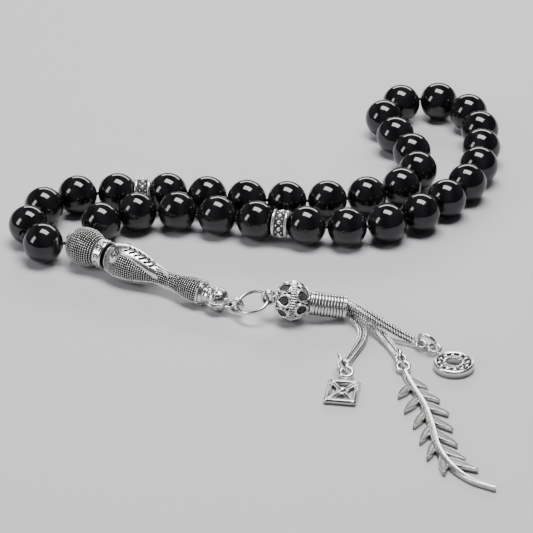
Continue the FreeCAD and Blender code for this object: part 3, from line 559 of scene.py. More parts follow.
def make_imame_body():
    """The studded grip, with a beaded seam low along each side and a rolled rim at its end."""
    stations = np.linspace(12.6, 41.0, 350)
    outline = [(2.3, 12.45), (3.2, 12.42)] + list(zip(grip_radius(stations), stations)) + [(1.2, 41.02)]
    shape = lathe(outline, IMAME_AROUND, grip_bump)
    seam_roll = math.radians(114.0)
    for station in np.arange(13.4, 40.6, 0.5):
        radius = float(grip_radius(station)) + 0.02
        for turn in (seam_roll, -seam_roll):
            shape.add(ball(0.27, (-radius * math.sin(turn), radius * math.cos(turn), station), 8, 6))
    shape.add(wire(full_circle(2.98, 72, 40.0), 0.28, 10, closed=True))
    finished("imame_grip", shape.moved(IMAME), "imame", GRAINED, nodes=["imame_body"])


# the forked blade seen flat: (station, distance from its middle line), near side positive
BLADE_OUTLINE = [
    (12.9, -0.8), (12.9, 0.8), (14.6, 1.0), (14.4, 2.6), (14.9, 3.7), (16.3, 3.7), (16.9, 2.6),
    (17.2, 1.9), (22.0, 2.2), (25.5, 2.1), (27.9, 1.85), (26.6, 0.5), (28.8, 0.4), (30.6, 1.0),
    (29.6, -0.5), (27.0, -1.3), (22.0, -2.1), (17.2, -1.9), (16.9, -2.6), (16.3, -3.6),
    (14.9, -3.6), (14.4, -2.4), (14.6, -1.0),
]
BLADE_ROLL = 8.0


def segment_distance(px, py, a, b):
    ax, ay = a
    dx, dy = b[0] - ax, b[1] - ay
    share = np.clip(((px - ax) * dx + (py - ay) * dy) / (dx * dx + dy * dy), 0, 1)
    return np.hypot(px - ax - share * dx, py - ay - share * dy)


def inside_distance(px, py, corners):
    """How far inside a closed outline each point lies; outside is negative."""
    nearest = np.full(px.shape, 9.0)
    inside = np.zeros(px.shape, bool)
    for a, b in zip(corners, corners[1:] + corners[:1]):
        nearest = np.minimum(nearest, segment_distance(px, py, a, b))
        if a[1] != b[1]:
            crosses = (a[1] > py) != (b[1] > py)
            inside ^= crosses & (px < (b[0] - a[0]) * (py - a[1]) / (b[1] - a[1]) + a[0])
    return np.where(inside, nearest, -nearest)


def blade_cuts(stations, sides):
    """How far each point lies from the middle of a cut: six chevrons, and a curl in each arm."""
    nearest = np.full(stations.shape, 9.0)
    for number in range(6):
        tip = 18.6 + number * 1.45
        for side in (-1, 1):
            ends = (tip, 0.1 * side), (tip - 0.85, 1.0 * side)
            nearest = np.minimum(nearest, segment_distance(stations, sides, *ends))
    curl_radius, curl_station, curl_side = 0.62, 15.5, 2.55
    for side in (-1, 1):
        for step in range(7):
            turns = [math.radians(-60 + 40 * (step + part)) for part in (0, 1)]
            ends = [(curl_station + curl_radius * math.cos(t), side * curl_side + curl_radius * math.sin(t))
                    for t in turns]
            nearest = np.minimum(nearest, segment_distance(stations, sides, *ends))
    return nearest


def make_blade():
    """A forked blade laid over the grip, cut through with chevrons and curls."""
    fineness, collar_radius = 0.05, 3.4
    stations, sides = np.meshgrid(np.arange(12.7, 30.8, fineness), np.arange(-3.9, 3.95, fineness),
                                  indexing="ij")
    depth = inside_distance(stations, sides, BLADE_OUTLINE)
    pierced = np.clip((0.34 - blade_cuts(stations, sides)) / 0.16, 0, 1)
    rise = 0.42 * np.clip((depth + 0.02) / 0.22, 0, 1) ** 0.5 - 0.12 - 0.36 * pierced
    radius = np.where(stations < 12.9, collar_radius, grip_radius(stations)) + rise
    up = np.sqrt(np.maximum(radius ** 2 - sides ** 2, 0.01))
    shape = grid(np.stack([-sides, up, stations], 2), np.clip(pierced * 2.5, 0, 1))
    keep = [face for face in shape.faces if depth.ravel()[list(face)].max() > -fineness]
    used = sorted({index for face in keep for index in face})
    renumbered = {old: new for new, old in enumerate(used)}
    faces = [[renumbered[index] for index in face] for face in keep]
    shape = Shape(shape.verts[used], faces, shape.tarnish_and_shade[used])
    finished("forked_blade", shape.moved(IMAME @ turned_about("Z", BLADE_ROLL)), "imame", POLISHED,
             nodes=["blade_ornament"])


# each cut's place along the axis and round it, and how far it leans, in radians
LEAF_CUTS = ((-0.3, 0.62, 0.5), (0.05, 0.85, 0.15), (0.12, 0.4, -0.2), (0.45, 0.66, -0.5))


def leaf_cuts(level):
    """How deep each point lies in one of four leaf-shaped cuts fanned over the near shoulder."""
    roll = np.arctan2(-level[..., 0], level[..., 1])
    deepest = np.zeros(roll.shape)
    for station, swing, lean in LEAF_CUTS:
        across, down = level[..., 2] - station, roll - swing
        long = down * math.cos(lean) + across * math.sin(lean)
        short = across * math.cos(lean) - down * math.sin(lean)
        deepest = np.maximum(deepest, 1.0 - np.hypot(long / 0.21, short / 0.085))
    return deepest


def cup_half(side):
    """Half of the clam ball: hammered, with a rolled lip beside the slit. Side 1 is the upper half."""
    tilts, turns = np.meshgrid(np.linspace(0.02, math.pi / 2 - 0.02, 60), np.arange(160) / 160 * TURN,
                               indexing="ij")
    level = np.stack([np.sin(tilts) * np.cos(turns), np.cos(tilts) * side, np.sin(tilts) * np.sin(turns)], 2)
    hammered = np.array([[noise.noise(Vector(way) * 4.5 + Vector((side * 5, 0, 0))) for way in row]
                         for row in level])
    radius = 2.9 + 0.06 * hammered
    tarnish_and_shade = np.clip(-hammered * 0.8, 0, 0.45)
    lip_radius, lip_wire, lip_height = 3.02, 0.24, -0.3
    if side > 0:
        lip_radius, lip_wire, lip_height = 2.95, 0.16, 0.2
        cuts = leaf_cuts(level)
        radius = radius - 0.35 * np.clip(cuts * 3, 0, 1)
        tarnish_and_shade = np.maximum(tarnish_and_shade, np.clip(cuts * 5, 0, 1))
    points = level * radius[..., None] + np.array((0, 0.04 * side, BALL_STATION))
    shape = grid(points, tarnish_and_shade, wrap=True, flip=side > 0)
    lip = full_circle(lip_radius, 96)
    lip = np.stack([lip[:, 0], np.full(len(lip), lip_height), lip[:, 1] + BALL_STATION], 1)
    return shape.add(wire(lip, lip_wire, 10, closed=True))


LUG = Vector((0, -0.4, BALL_STATION + 3.45))


def make_cups():
    """The ball's two halves, the lower with the lug, and the turned neck that joins it to the grip."""
    finished("clam_cup_upper", cup_half(1).moved(IMAME), "imame", POLISHED, nodes=["knot_cup_upper"])
    lug = ring(1.05, 0.35, 40, 10).moved(Matrix.Translation(LUG) @ turned_about("X", 90))
    lower = cup_half(-1).add(lug)
    finished("clam_cup_lower", lower.moved(IMAME), "imame", POLISHED, nodes=["knot_cup_lower"])
    neck = lathe(rounded([(1.25, 41.0), (2.15, 41.05), (2.2, 41.35), (1.9, 41.6), (2.0, 42.4)], 0.12), 64)
    finished("clam_neck", neck.moved(IMAME), "imame", POLISHED)


# --- rings -----------------------------------------------------------------------------------------

LINK_RADIUS = 1.75
LINK_WAY, RING_WAY = Vector((0.914, -0.33, 0.236)), Vector((0.965, -0.07, 0.25))
LINK_CENTRE = joint_point("link_swing") + LINK_WAY * LINK_RADIUS
RING_CENTRE = at((-3.25, -24.95, 4.3))


def ring_place(centre, way, lift):
    """A ring lies along its way and is tilted about it: 0 is level, 90 upright."""
    way = Vector(way).normalized()
    level = UP.cross(way).normalized()
    across = level * math.cos(math.radians(lift)) + way.cross(level) * math.sin(math.radians(lift))
    return place(centre, way, way.cross(across))


def double_loop(radius, thickness):
    """Two turns of one wire wound side by side, with domed ends. thickness is the wire's radius."""
    path = circle(radius, turns=2.0, count=40, rise=thickness * 4.4, start=2.2)
    shape = wire(path, thickness, 12)
    reach = shape.reach()
    # painted shade on the inner side and in the crease between the two turns
    inside = np.clip((radius - 0.1 * thickness - reach) / (0.5 * thickness), 0, 0.75)
    between = np.clip((0.55 * thickness - np.abs(shape.verts[:, 2])) / (0.4 * thickness), 0, 0.9)
    shape.tarnish_and_shade = np.maximum(inside, between * (reach < radius + 0.7 * thickness))
    return shape


def make_rings():
    """The double link stands upright; the large ring leans a little and its joint faces away."""
    link = double_loop(LINK_RADIUS, 0.3).moved(ring_place(LINK_CENTRE, LINK_WAY, 90))
    finished("double_link", link, "link", POLISHED, nodes=["link_ring"])
    large = ring(3.75, 0.45, 90, 14).moved(ring_place(RING_CENTRE, RING_WAY, 13.0) @ turned_about("Z", 100))
    finished("large_loop", large, "ring", POLISHED, nodes=["large_ring"])


# --- tassel head -----------------------------------------------------------------------------------

# own Z runs from the pin's eye down along the pin, own X points at the table
TASSEL_AXIS = Vector(JOINTS["filigree_spin"]["axis"])
TASSEL = place(joint_point("tassel_swing"), (0, 0, -1), TASSEL_AXIS)
FILIGREE_MIDDLE, FILIGREE_HALF, FILIGREE_MOUTH = 5.75, 3.95, 2.1
FILIGREE_CIRCLES, BELT_RIDGES = 7, 48
COIL_START, COIL_PITCH, COIL_TURNS = 10.0, 0.75, 12
COIL_END = COIL_START + COIL_PITCH * COIL_TURNS


def make_pin():
    """A doubled eye, the wire's end wrapped below it, and the shank that runs into the plug."""
    eye = double_loop(1.4, 0.38).moved(turned_about("X", 90))
    wraps = circle(0.82, turns=2.5, count=24, rise=0.9) + (0, 0, 1.35)
    shank = wire([(0, 0, 1.1), (0, 0, 5.0), (0, 0, COIL_START + 4.5)], 0.55, 14)
    pin = joined([eye, wire(wraps, 0.26, 10), shank])
    finished("eye_pin", pin.moved(TASSEL), "tassel", POLISHED, nodes=["tassel_pin"])


def filigree_radius(station):
    away = np.abs(np.asarray(station, float) - FILIGREE_MIDDLE)
    return level_arc(away, 4.55, 0.0, FILIGREE_MOUTH, 4.0)


def on_filigree(stations, turns, lift):
    """Points this far above the filigree bead's surface."""
    radius = filigree_radius(stations) + lift
    return np.stack([radius * np.cos(turns), radius * np.sin(turns), stations], 1)


def filigree_circle(side, turn):
    """A wire circle with nine grains in it, and the prongs and stalk that fill the gap after it."""
    middle, circle_radius, grain_ring = FILIGREE_MIDDLE + side * 2.25, 1.38, 0.62
    reach, sweep = float(filigree_radius(middle)), np.linspace(0, TURN, 37)[:-1]
    path = on_filigree(middle + circle_radius * np.cos(sweep),
                       turn + circle_radius * np.sin(sweep) / reach, 0.03)
    shape = wire(path, 0.28, 12, closed=True)
    for grain in range(9):
        far, spin = (0.0, 0.0) if grain == 0 else (grain_ring, grain * math.pi / 4)
        spot = on_filigree(np.array([middle + far * math.cos(spin)]),
                           np.array([turn + far * math.sin(spin) / reach]), -0.3)[0]
        dome = ball(0.24, spot, 8, 6)
        dome.tarnish_and_shade[:] = 0.8
        shape.add(dome)
    gap = turn + math.pi / FILIGREE_CIRCLES
    for lean in (-0.14, 0.14):
        prong = on_filigree(FILIGREE_MIDDLE + side * np.linspace(0.95, 1.75, 5),
                            gap + lean * np.linspace(1.0, 0.25, 5), -0.02)
        shape.add(wire(prong, 0.16, 8))
    stalk = on_filigree(FILIGREE_MIDDLE + side * np.linspace(2.6, 3.7, 6), np.full(6, gap), -0.05)
    return shape.add(wire(stalk, 0.15, 8))


def make_filigree():
    """A hollow bead dressed with wire circles either side of a ridged belt, its core painted dark as shade.
    """
    stations = np.linspace(FILIGREE_MIDDLE - FILIGREE_HALF, FILIGREE_MIDDLE + FILIGREE_HALF, 60)
    core = list(zip(filigree_radius(stations) - 0.3, stations))
    shape = lathe([(0.7, stations[0])] + core + [(0.7, stations[-1])], 128)
    # the core under the openwork is painted dark all over, as shade
    shape.tarnish_and_shade[:] = 0.95
    for side in (-1, 1):
        for index in range(FILIGREE_CIRCLES):
            shape.add(filigree_circle(side, (index + 0.25 * side) / FILIGREE_CIRCLES * TURN))
    for index in range(BELT_RIDGES):
        turn = index / BELT_RIDGES * TURN
        ridge = on_filigree(FILIGREE_MIDDLE + np.linspace(-0.56, 0.56, 5), np.full(5, turn), 0.14)
        shape.add(wire(ridge, 0.18, 8))
    for offset in (-0.72, 0.72):
        belt = on_filigree(np.full(72, FILIGREE_MIDDLE + offset), np.arange(72) / 72 * TURN, 0.0)
        shape.add(wire(belt, 0.11, 8, closed=True))
    for offset in (-FILIGREE_HALF, FILIGREE_HALF):
        shape.add(wire(full_circle(FILIGREE_MOUTH, 60, FILIGREE_MIDDLE + offset), 0.2, 10, closed=True))
    finished("filigree_ball", shape.moved(TASSEL), "filigree", GRAINED, nodes=["filigree_bead"])


def make_coil():
    """The wire wound round the strands' ends, its end turns, the sleeve under it and the plug; the sleeve,
    the plug and the coil's inner side are painted dark as shade.
    """
    wire_radius = 0.36
    path = circle(2.58, turns=COIL_TURNS - 0.9, count=56, rise=COIL_PITCH * (COIL_TURNS - 1))
    path = path + (0, 0, (COIL_START + COIL_END) / 2 - 0.05)
    shape = wire(path, wire_radius, 16)
    # the coil's inner side is painted dark, as shade between the turns and the sleeve
    shape.tarnish_and_shade = np.clip((2.84 - shape.reach()) / 0.12, 0, 1)
    for station in (COIL_START + 0.3, COIL_END - 0.3):
        shape.add(wire(full_circle(2.6, 72, station), wire_radius, 12, closed=True))
    sleeve = lathe([(2.38, COIL_START + 0.1), (2.5, COIL_START + 0.4), (2.5, COIL_END - 0.4),
                    (2.36, COIL_END - 0.2), (2.32, COIL_END - 1.2)], 72)
    # painted dark all over, as shade under the coil
    sleeve.tarnish_and_shade[:] = 1.0
    shape.add(sleeve)
    finished("wire_binding", shape.moved(TASSEL), "tassel", POLISHED, nodes=["wire_coil"])
    lid = lathe(rounded([(0.5, COIL_START - 0.03), (2.3, COIL_START), (2.3, COIL_END - 1.05),
                         (1.2, COIL_END - 0.98), (0.05, COIL_END - 0.95)], 0.2), 48)
    # painted dark, as shade inside the coil's ends
    lid.tarnish_and_shade[:] = 0.8
    finished("cap_plug", lid.moved(TASSEL), "tassel", POLISHED, nodes=["cap_core"])


# --- strands, jump rings and charms ------------------------------------------------------------------

PAIRS = {
    "left": [(19.15, -25.3, 1.68), (21.7, -28.35, 0.77), (23.05, -32.15, 0.76), (22.75, -36.5, 0.8),
             (21.2, -40.95, 0.73), (19.4, -44.75, 0.7), (18.5, -47.3, 0.9)],
    "middle": [(18.95, -25.3, 3.0), (23.1, -28.2, 2.56), (25.6, -32.05, 1.87), (27.9, -36.35, 1.1),
               (29.95, -40.65, 0.7), (31.2, -44.7, 0.9)],
    "right": [(19.6, -25.3, 4.33), (22.55, -29.75, 4.9), (26.3, -33.0, 4.12), (29.9, -35.45, 2.85),
              (33.25, -37.2, 1.7), (35.7, -38.4, 1.1)],
}
STRAND_OFFSET, LINK_PITCH, LINK_WIRE = 0.7, 0.74, 0.165
# how far each pair's jump ring leans from upright, and the way its charm lies
JUMP_LEANS = {"left": 20.4, "middle": 11.8, "right": 17.7}
CHARM_HEADINGS = {"left": -98.7, "middle": -90.0, "right": -59.0}
# the end loops hang this far round the jump ring from its level line, with their tips raised
JUMP_RADIUS, CROSSING, LOOP_TIP = 2.3, math.radians(38.0), 18.0


def jump_frame(name):
    """The jump ring's centre, the level way along it and its upright, from the two joints that it carries."""
    first, last = joint_point("jump_%s_swing" % name), joint_point("charm_%s_swing" % name)
    level = (last - first).normalized()
    beside = Vector((level.y, -level.x, 0))
    lean = math.radians(JUMP_LEANS[name])
    upright = UP * math.cos(lean) + beside * math.sin(lean)
    return (first + last) / 2 + upright * math.sin(CROSSING) * JUMP_RADIUS, level, upright


def strand_way(name, side):
    """The smooth middle line of one strand of a pair."""
    middle = [at(point) for point in PAIRS[name]]
    corners = []
    for index, point in enumerate(middle):
        ahead = middle[min(index + 1, len(middle) - 1)] - middle[max(index - 1, 0)]
        if index == 0:
            ahead = TASSEL_AXIS
        beside = Vector((-ahead.y, ahead.x, 0)).normalized()
        corners.append(point + beside * side * STRAND_OFFSET)
    return smooth_way(corners)


def chain_link():
    """One woven link: a loop folded so that both of its faces show a V."""
    tip, fold, flat, high = 0.5, -0.42, 0.5, 0.44
    arm, out, up = tip * 0.55, flat * 0.66, high * 0.82
    corners = np.array([(fold, 0, high), (arm, out, up), (tip, flat, 0), (arm, out, -up), (fold, 0, -high),
                        (arm, -out, -up), (tip, -flat, 0), (arm, -out, up)])
    points = []
    for before, corner, after in zip(np.roll(corners, 1, 0), corners, np.roll(corners, -1, 0)):
        start, end = (corner + before) / 2, (corner + after) / 2
        points += [arc_point(start, corner, end, share) for share in (0.0, 0.5)]
    return np.array(points)


# how far each pair's links are rolled about their line; a pair's second strand less so
PAIR_ROLLS = {"left": 38.0, "middle": 12.0, "right": -10.0}


def woven_strand(name, side):
    """Links along the strand's line round a core painted dark as shade, with the line's last point and
    direction.
    """
    way, ahead = spaced(strand_way(name, side), LINK_PITCH)
    roll = math.radians(PAIR_ROLLS[name] * (1 if side > 0 else 0.4))
    link = chain_link()
    shape = Shape()
    for point, forwards in zip(way[:-1], ahead[:-1]):
        forwards = Vector(forwards)
        level = UP.cross(forwards).normalized()
        upright = forwards.cross(level)
        across = level * math.cos(roll) + upright * math.sin(roll)
        own = np.array((forwards, across, forwards.cross(across)))
        loop = wire(link @ own + point, LINK_WIRE, 8, closed=True)
        along = (loop.verts - point) @ own[0]
        away = np.linalg.norm(loop.verts - point - along[:, None] * own[0], axis=1)
        # the links' inner sides, near the line, are painted dark as shade between links
        loop.tarnish_and_shade = np.clip((0.5 - away) / 0.1, 0, 1)
        shape.add(loop)
    # a core painted dark all over, as shade inside the links
    core = wire(way, 0.3, 8)
    core.tarnish_and_shade[:] = 1.0
    return shape.add(core), Vector(way[-1]), Vector(ahead[-1])


def curl(point, way, up, size, thickness, turns):
    """A short wire end curled back on itself."""
    sweep = np.linspace(0, turns * TURN, 24)
    path = [point + way * size * math.sin(a) + up * size * (1 - math.cos(a)) for a in sweep]
    return wire(path, thickness, 10)


def looped_end(name, end, way):
    """The pair's end loop: a tapered neck, the loop that the jump ring passes and a wrap of fine wire."""
    loop_radius = 1.15
    centre, last = joint_point("jump_%s_swing" % name), at(PAIRS[name][-1])
    run = Vector((centre.x - last.x, centre.y - last.y, 0)).normalized()
    stop = centre - run * loop_radius
    neck = wire([end - way * 0.6, (end + stop) / 2, stop], [0.62, 0.5, 0.4], 12)
    loop = ring(loop_radius, 0.36, 40, 12).moved(place(centre, run, UP) @ turned_about("Y", LOOP_TIP))
    own = place(end, UP, way)
    wraps = [own @ Vector(point) for point in circle(0.56, turns=2.2, count=20, rise=0.7)]
    return joined([neck, loop, wire(wraps, 0.2, 8)])


def curled_end(end, way):
    """The other strand of a pair ends in a cap and a small curl."""
    level = Vector((way.x, way.y, 0)).normalized()
    cap = wire([end - way * 0.5, end + way * 0.25], 0.55, 12)
    return cap.add(curl(end + way * 0.1, level, UP, 0.5, 0.24, 0.75))


def make_strands():
    for name in PAIRS:
        for side, letter in ((1, "a"), (-1, "b")):
            shape, end, way = woven_strand(name, side)
            shape.add(looped_end(name, end, way) if side > 0 else curled_end(end, way))
            finished("foxtail_%s_%s" % (name, letter), shape, "pair_" + name, WOVEN,
                     nodes=["chain_%s_%s" % (name, letter)])
        centre, level, upright = jump_frame(name)
        loop = ring(JUMP_RADIUS, 0.45, 72, 14)
        loop = loop.moved(place(centre, level, level.cross(upright)) @ turned_about("Z", 118))
        finished("jump_loop_" + name, loop, "jump_" + name, POLISHED, nodes=["jump_ring_" + name])


def charm_place(name):
    """Own origin on the table under the charm's loop, own X along the charm."""
    point = joint_point("charm_%s_swing" % name)
    return place((point.x, point.y, 0), heading(CHARM_HEADINGS[name]), UP)


def charm_loop():
    own = shifted(0, 0, 1.37) @ turned_about("Y", LOOP_TIP)
    return ring(1.4, 0.45, 44, 12).moved(own @ turned_about("Z", 180))


def bar(start, end, width, thickness, bottom=0.0):
    """A rounded bar lying flat between two points."""
    middle = bottom + thickness / 2
    path = [(*start, middle), (*(np.array(start) + end) / 2, middle), (*end, middle)]
    return wire(path, thickness / 2, 12, across=width / thickness)


def make_plaque():
    """An openwork plaque: a frame edged with beads, two crossed bars and a ringed boss."""
    left, length, width, thickness = 3.2, 9.6, 7.6, 1.8
    right, half, rail_width = left + length, width / 2, 1.24
    top, middle = thickness * 0.8, np.array((left + length / 2, 0.0))
    corners = np.array([(left, -half), (right, -half), (right, half), (left, half)])
    inset = rail_width / 2
    rails = corners + np.array([(inset, inset), (-inset, inset), (-inset, -inset), (inset, -inset)])
    shape = joined([bar(start, end, rail_width, top) for start, end in zip(rails, np.roll(rails, -1, 0))])
    for side in (half - 1.0, 1.0 - half):
        shape.add(bar((left + 1.0, side), (right - 1.0, -side), 0.95, 1.3, 0.15))
    shape.add(ball(0.98, (middle[0], 0, 1.05), 28, 15))
    shape.add(wire(full_circle(1.25, 40) + (middle[0], 0, 1.15), 0.22, 8, closed=True))
    # a row of beads along each rail, none where two rails meet
    for start, end in zip(corners, np.roll(corners, -1, 0)):
        inwards = middle - (start + end) / 2
        inwards = inwards / np.linalg.norm(inwards) * inset
        beads = int(np.linalg.norm(end - start) / 0.62)
        for index in range(beads):
            x, y = start + inwards + (end - start) * (index + 0.5) / beads
            if left + 0.4 < x < right - 0.4 and abs(y) < half - 0.4:
                shape.add(ball(0.27, (x, y, top), 8, 6))
    # the lower parts are painted darker towards the floor, as shade
    shape.tarnish_and_shade = np.clip((1.05 - shape.verts[:, 2]) * 1.1, 0, 0.8)
    shape.add(bar((1.4, 0), (left + 0.5, 0), 1.2, 1.1))
    shape.add(charm_loop())
    finished("lattice_plaque", shape.moved(charm_place("left")), "charm_left", POLISHED,
             nodes=["charm_left"])


def make_rosette():
    """A round charm: a domed rim, a circle of half-sunk pearls and a rope-edged hole."""
    centre, pearl_ring, pearls, ropes = 8.2, 3.4, 12, 34
    outline = rounded([(1.95, 0.9), (1.95, 0.02), (4.75, 0.0), (4.9, 0.9), (4.8, 1.75), (4.35, 2.1),
                       (4.05, 1.75), (3.95, 1.3), (2.75, 1.3), (2.6, 1.75), (2.25, 1.95), (1.95, 1.6),
                       (1.95, 0.9)], 0.3)
    shape = lathe(outline, 120)
    channel = (shape.reach() > 2.65) & (shape.reach() < 4.1) & (shape.verts[:, 2] > 1.0)
    # the channel under the pearls is darkest; the lower parts are painted darker towards the floor, as shade
    shape.tarnish_and_shade = np.where(channel, 0.95, np.clip((1.5 - shape.verts[:, 2]) * 0.8, 0, 0.6))
    for index in range(pearls):
        turn = index / pearls * TURN
        shape.add(ball(0.62, (pearl_ring * math.cos(turn), pearl_ring * math.sin(turn), 1.5), 16, 10))
    for index in range(ropes):
        turn = index / ropes * TURN
        path = [(r * math.cos(turn + lean), r * math.sin(turn + lean), 2.0)
                for r, lean in ((2.02, -0.03), (2.22, 0.0), (2.45, 0.05))]
        shape.add(wire(path, 0.15, 6))
    shape = shape.moved(shifted(centre, 0, 0))
    shape.add(bar((1.4, 0), (centre - 4.5, 0), 1.2, 1.2))
    shape.add(charm_loop())
    finished("pearl_rosette", shape.moved(charm_place("right")), "charm_right", POLISHED,
             nodes=["charm_right"])


# the branch seen flat, from its loop's centre: forwards, to the left, and half the stem's width
STEM = [(1.2, 0.0, 0.6), (8.0, 1.7, 0.75), (16.0, 4.0, 0.8), (24.2, 5.3, 0.85), (34.2, 6.4, 0.85),
        (42.0, 9.2, 0.75), (47.5, 13.2, 0.6), (50.8, 18.2, 0.45)]
# where each leaf leaves the stem, and its tip
LEAVES = [
    ((4.5, 1.0), (9.4, 5.2)), ((9.8, 2.3), (14.6, 7.8)), ((15.2, 3.8), (20.4, 9.6)),
    ((20.8, 4.8), (27.0, 10.2)), ((27.0, 5.6), (33.6, 10.9)), ((33.4, 6.3), (39.6, 12.4)),
    ((39.0, 8.0), (43.8, 15.0)),
    ((7.2, 1.5), (12.6, -1.6)), ((12.8, 3.1), (19.0, -0.4)), ((18.8, 4.5), (25.6, 1.4)),
    ((25.0, 5.4), (32.2, 2.6)), ((31.4, 6.1), (38.8, 4.0)), ((37.6, 7.5), (45.0, 7.4)),
]
BRANCH_THICKNESS = 1.4


def through(points, step=0.3):
    """A smooth line through its points, with any further values they carry."""
    points = np.array(points, float)
    padded = np.vstack([2 * points[0] - points[1], points, 2 * points[-1] - points[-2]])
    out = []
    for a, b, c, d in zip(padded, padded[1:], padded[2:], padded[3:]):
        steps = max(3, int(np.linalg.norm(c[:2] - b[:2]) / step))
        for t in np.arange(steps) / steps:
            out.append(0.5 * (2 * b + (c - a) * t + (2 * a - 5 * b + 4 * c - d) * t ** 2
                              + (3 * b - a - 3 * c + d) * t ** 3))
    return np.array(out + [points[-1]])


def stroke(points, thickness):
    """A flat bar with softened edges and rounded ends, as wide as its points say."""
    line = through(points)
    ahead = np.gradient(line[:, :2], axis=0)
    ahead /= np.linalg.norm(ahead, axis=1)[:, None]
    beside = np.stack([-ahead[:, 1], ahead[:, 0]], 1)
    # (sideways, up) as shares of the half width and the thickness, from one lower edge over to the other
    section = [(1.0, 0.06), (1.0, 0.5), (0.99, 0.86), (0.93, 0.95), (0.8, 0.99), (0.0, 1.0), (-0.8, 0.99),
               (-0.93, 0.95), (-0.99, 0.86), (-1.0, 0.5), (-1.0, 0.06), (-0.94, 0.0), (0.94, 0.0)]
    rows = []
    # each end's extra sections: how far back from it, how wide and how tall
    ends = [(-0.98, 0.2, 0.93), (-0.8, 0.6, 0.97), (-0.4, 0.92, 1.0)]
    plan = [(line[0], ahead[0], beside[0], *cap) for cap in ends]
    plan += [(p, a, b, 0.0, 1.0, 1.0) for p, a, b in zip(line, ahead, beside)]
    plan += [(line[-1], ahead[-1], beside[-1], -reach, wide, tall) for reach, wide, tall in reversed(ends)]
    for point, forwards, side, reach, wide, tall in plan:
        half = point[2]
        spot = point[:2] + forwards * reach * half
        rows.append([(*(spot + side * across * half * wide), up * thickness * tall)
                     for across, up in section])
    shape = grid(np.array(rows), wrap=True)
    count, size = len(rows), len(section)
    shape.faces += [tuple(range(size - 1, -1, -1)), tuple(range((count - 1) * size, count * size))]
    # the lower sides are painted darker, as shade
    shape.tarnish_and_shade = np.clip((0.85 - shape.verts[:, 2] / thickness) * 1.2, 0, 0.7)
    return shape


def leaf(foot, tip):
    """A pointed leaf hollowed along its middle, with a raised rib."""
    foot, tip = np.array(foot), np.array(tip)
    run = np.linalg.norm(tip - foot)
    ahead = (tip - foot) / run
    beside = np.array((-ahead[1], ahead[0]))
    lengths = np.linspace(0, 1, 29)
    half = 0.2 + 1.0 * np.sin(math.pi * lengths ** 0.85) * (1 - 0.25 * lengths)
    # the section from one lower edge to the rib and, mirrored, on to the other: sideways, and its height
    across = np.array([1.0, 1.0, 0.97, 0.88, 0.7, 0.45, 0.2, 0.0])
    across = np.concatenate([across, -across[-2::-1]])
    rim = np.array([0.05, 0.82, 0.94, 1.0, 0.93, 0.84, 0.82, 0.97])
    rim = np.concatenate([rim, rim[-2::-1]])
    rows = []
    for share, width in zip(lengths, half):
        spot = foot + ahead * run * share
        hollow = min(1.0, 3.5 * math.sin(math.pi * share))  # fades out at the foot and the tip
        tops = np.where(rim < 0.1, rim, 1 - (1 - rim) * hollow) * BRANCH_THICKNESS * 0.98
        rows.append([(*(spot + beside * width * side), top) for side, top in zip(across, tops)])
    shape = grid(np.array(rows), wrap=True, flip=True)
    count, size = len(rows), len(across)
    shape.faces += [tuple(range(size)), tuple(range(count * size - 1, (count - 1) * size - 1, -1))]
    dip = np.tile(np.where((np.abs(across) > 0.1) & (np.abs(across) < 0.75), 0.75, 0.0), count)
    # the hollows either side of the rib are dark; the lower sides are painted darker, as shade
    shape.tarnish_and_shade = np.maximum(dip, np.clip((0.75 - shape.verts[:, 2] / BRANCH_THICKNESS) * 1.2, 0, 0.7))
    return shape


def make_branch():
    """A branch with hollowed leaves either side of its stem."""
    shape = joined([leaf(foot, tip) for foot, tip in LEAVES])
    shape.add(stroke(STEM, BRANCH_THICKNESS))
    shape.add(charm_loop())
    finished("leafy_branch", shape.moved(charm_place("middle")), "charm_middle", POLISHED,
             nodes=["charm_middle"])


# --- scene -----------------------------------------------------------------------------------------

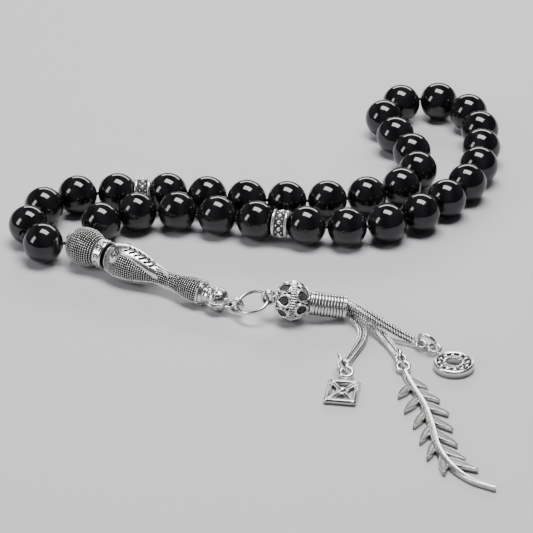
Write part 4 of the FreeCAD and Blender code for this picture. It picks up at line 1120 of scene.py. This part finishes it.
def make_floor():
    bpy.ops.mesh.primitive_plane_add(size=4.0, location=(0, 0, -0.00002))
    floor = bpy.context.object
    floor.name = "pale_floor"
    material, tree, shader = new_material("pale_floor_paint")
    cloud = node(tree, "ShaderNodeTexNoise", Scale=3.0, Detail=3.0)
    colour = shade(tree, cloud.outputs["Fac"], (0.5, 0.505, 0.52), (0.55, 0.555, 0.57))
    feed(tree, shader.inputs["Base Color"], colour)
    shader.inputs["Roughness"].default_value = 0.6
    floor.data.materials.append(material)


def area_light(name, spot, size, power, aim=(0, 0, 0.005)):
    lamp = bpy.data.lights.new(name, "AREA")
    lamp.shape, lamp.size, lamp.size_y, lamp.energy = "RECTANGLE", size[0], size[1], power
    made = bpy.data.objects.new(name, lamp)
    made.location = spot
    made.rotation_euler = (Vector(aim) - Vector(spot)).to_track_quat("-Z", "Y").to_euler()
    bpy.context.scene.collection.objects.link(made)


def make_light():
    """A dim studio and three soft boxes, in metres and watts."""
    world = bpy.data.worlds.new("studio")
    world.use_nodes = True
    background = world.node_tree.nodes["Background"]
    background.inputs["Color"].default_value = (0.9, 0.93, 1.0, 1)
    background.inputs["Strength"].default_value = 0.07
    bpy.context.scene.world = world
    area_light("overhead_box", (0.05, 0.1, 0.7), (0.5, 0.3), 8.5)
    area_light("side_box", (-0.6, -0.2, 0.35), (0.2, 0.4), 2.4)
    area_light("back_strip", (0.1, 0.7, 0.3), (0.7, 0.16), 3.0)


def make_camera():
    """A long lens on the near side, looking down on the table."""
    target = at((0, 0, 0)) * MM
    tilt, distance = math.radians(29.45), 0.8024
    camera = bpy.data.cameras.new("table_view")
    camera.lens, camera.sensor_width = 218.93, 36.0
    made = bpy.data.objects.new("table_view", camera)
    made.location = target + Vector((0, -math.cos(tilt), math.sin(tilt))) * distance
    made.rotation_euler = (math.pi / 2 - tilt, 0, 0)
    bpy.context.scene.collection.objects.link(made)
    bpy.context.scene.camera = made


make_camera()
make_beads()
make_imame_head()
make_imame_body()
make_blade()
make_cups()
make_rings()
make_pin()
make_filigree()
make_coil()
make_strands()
make_plaque()
make_rosette()
make_branch()
make_floor()
make_light()
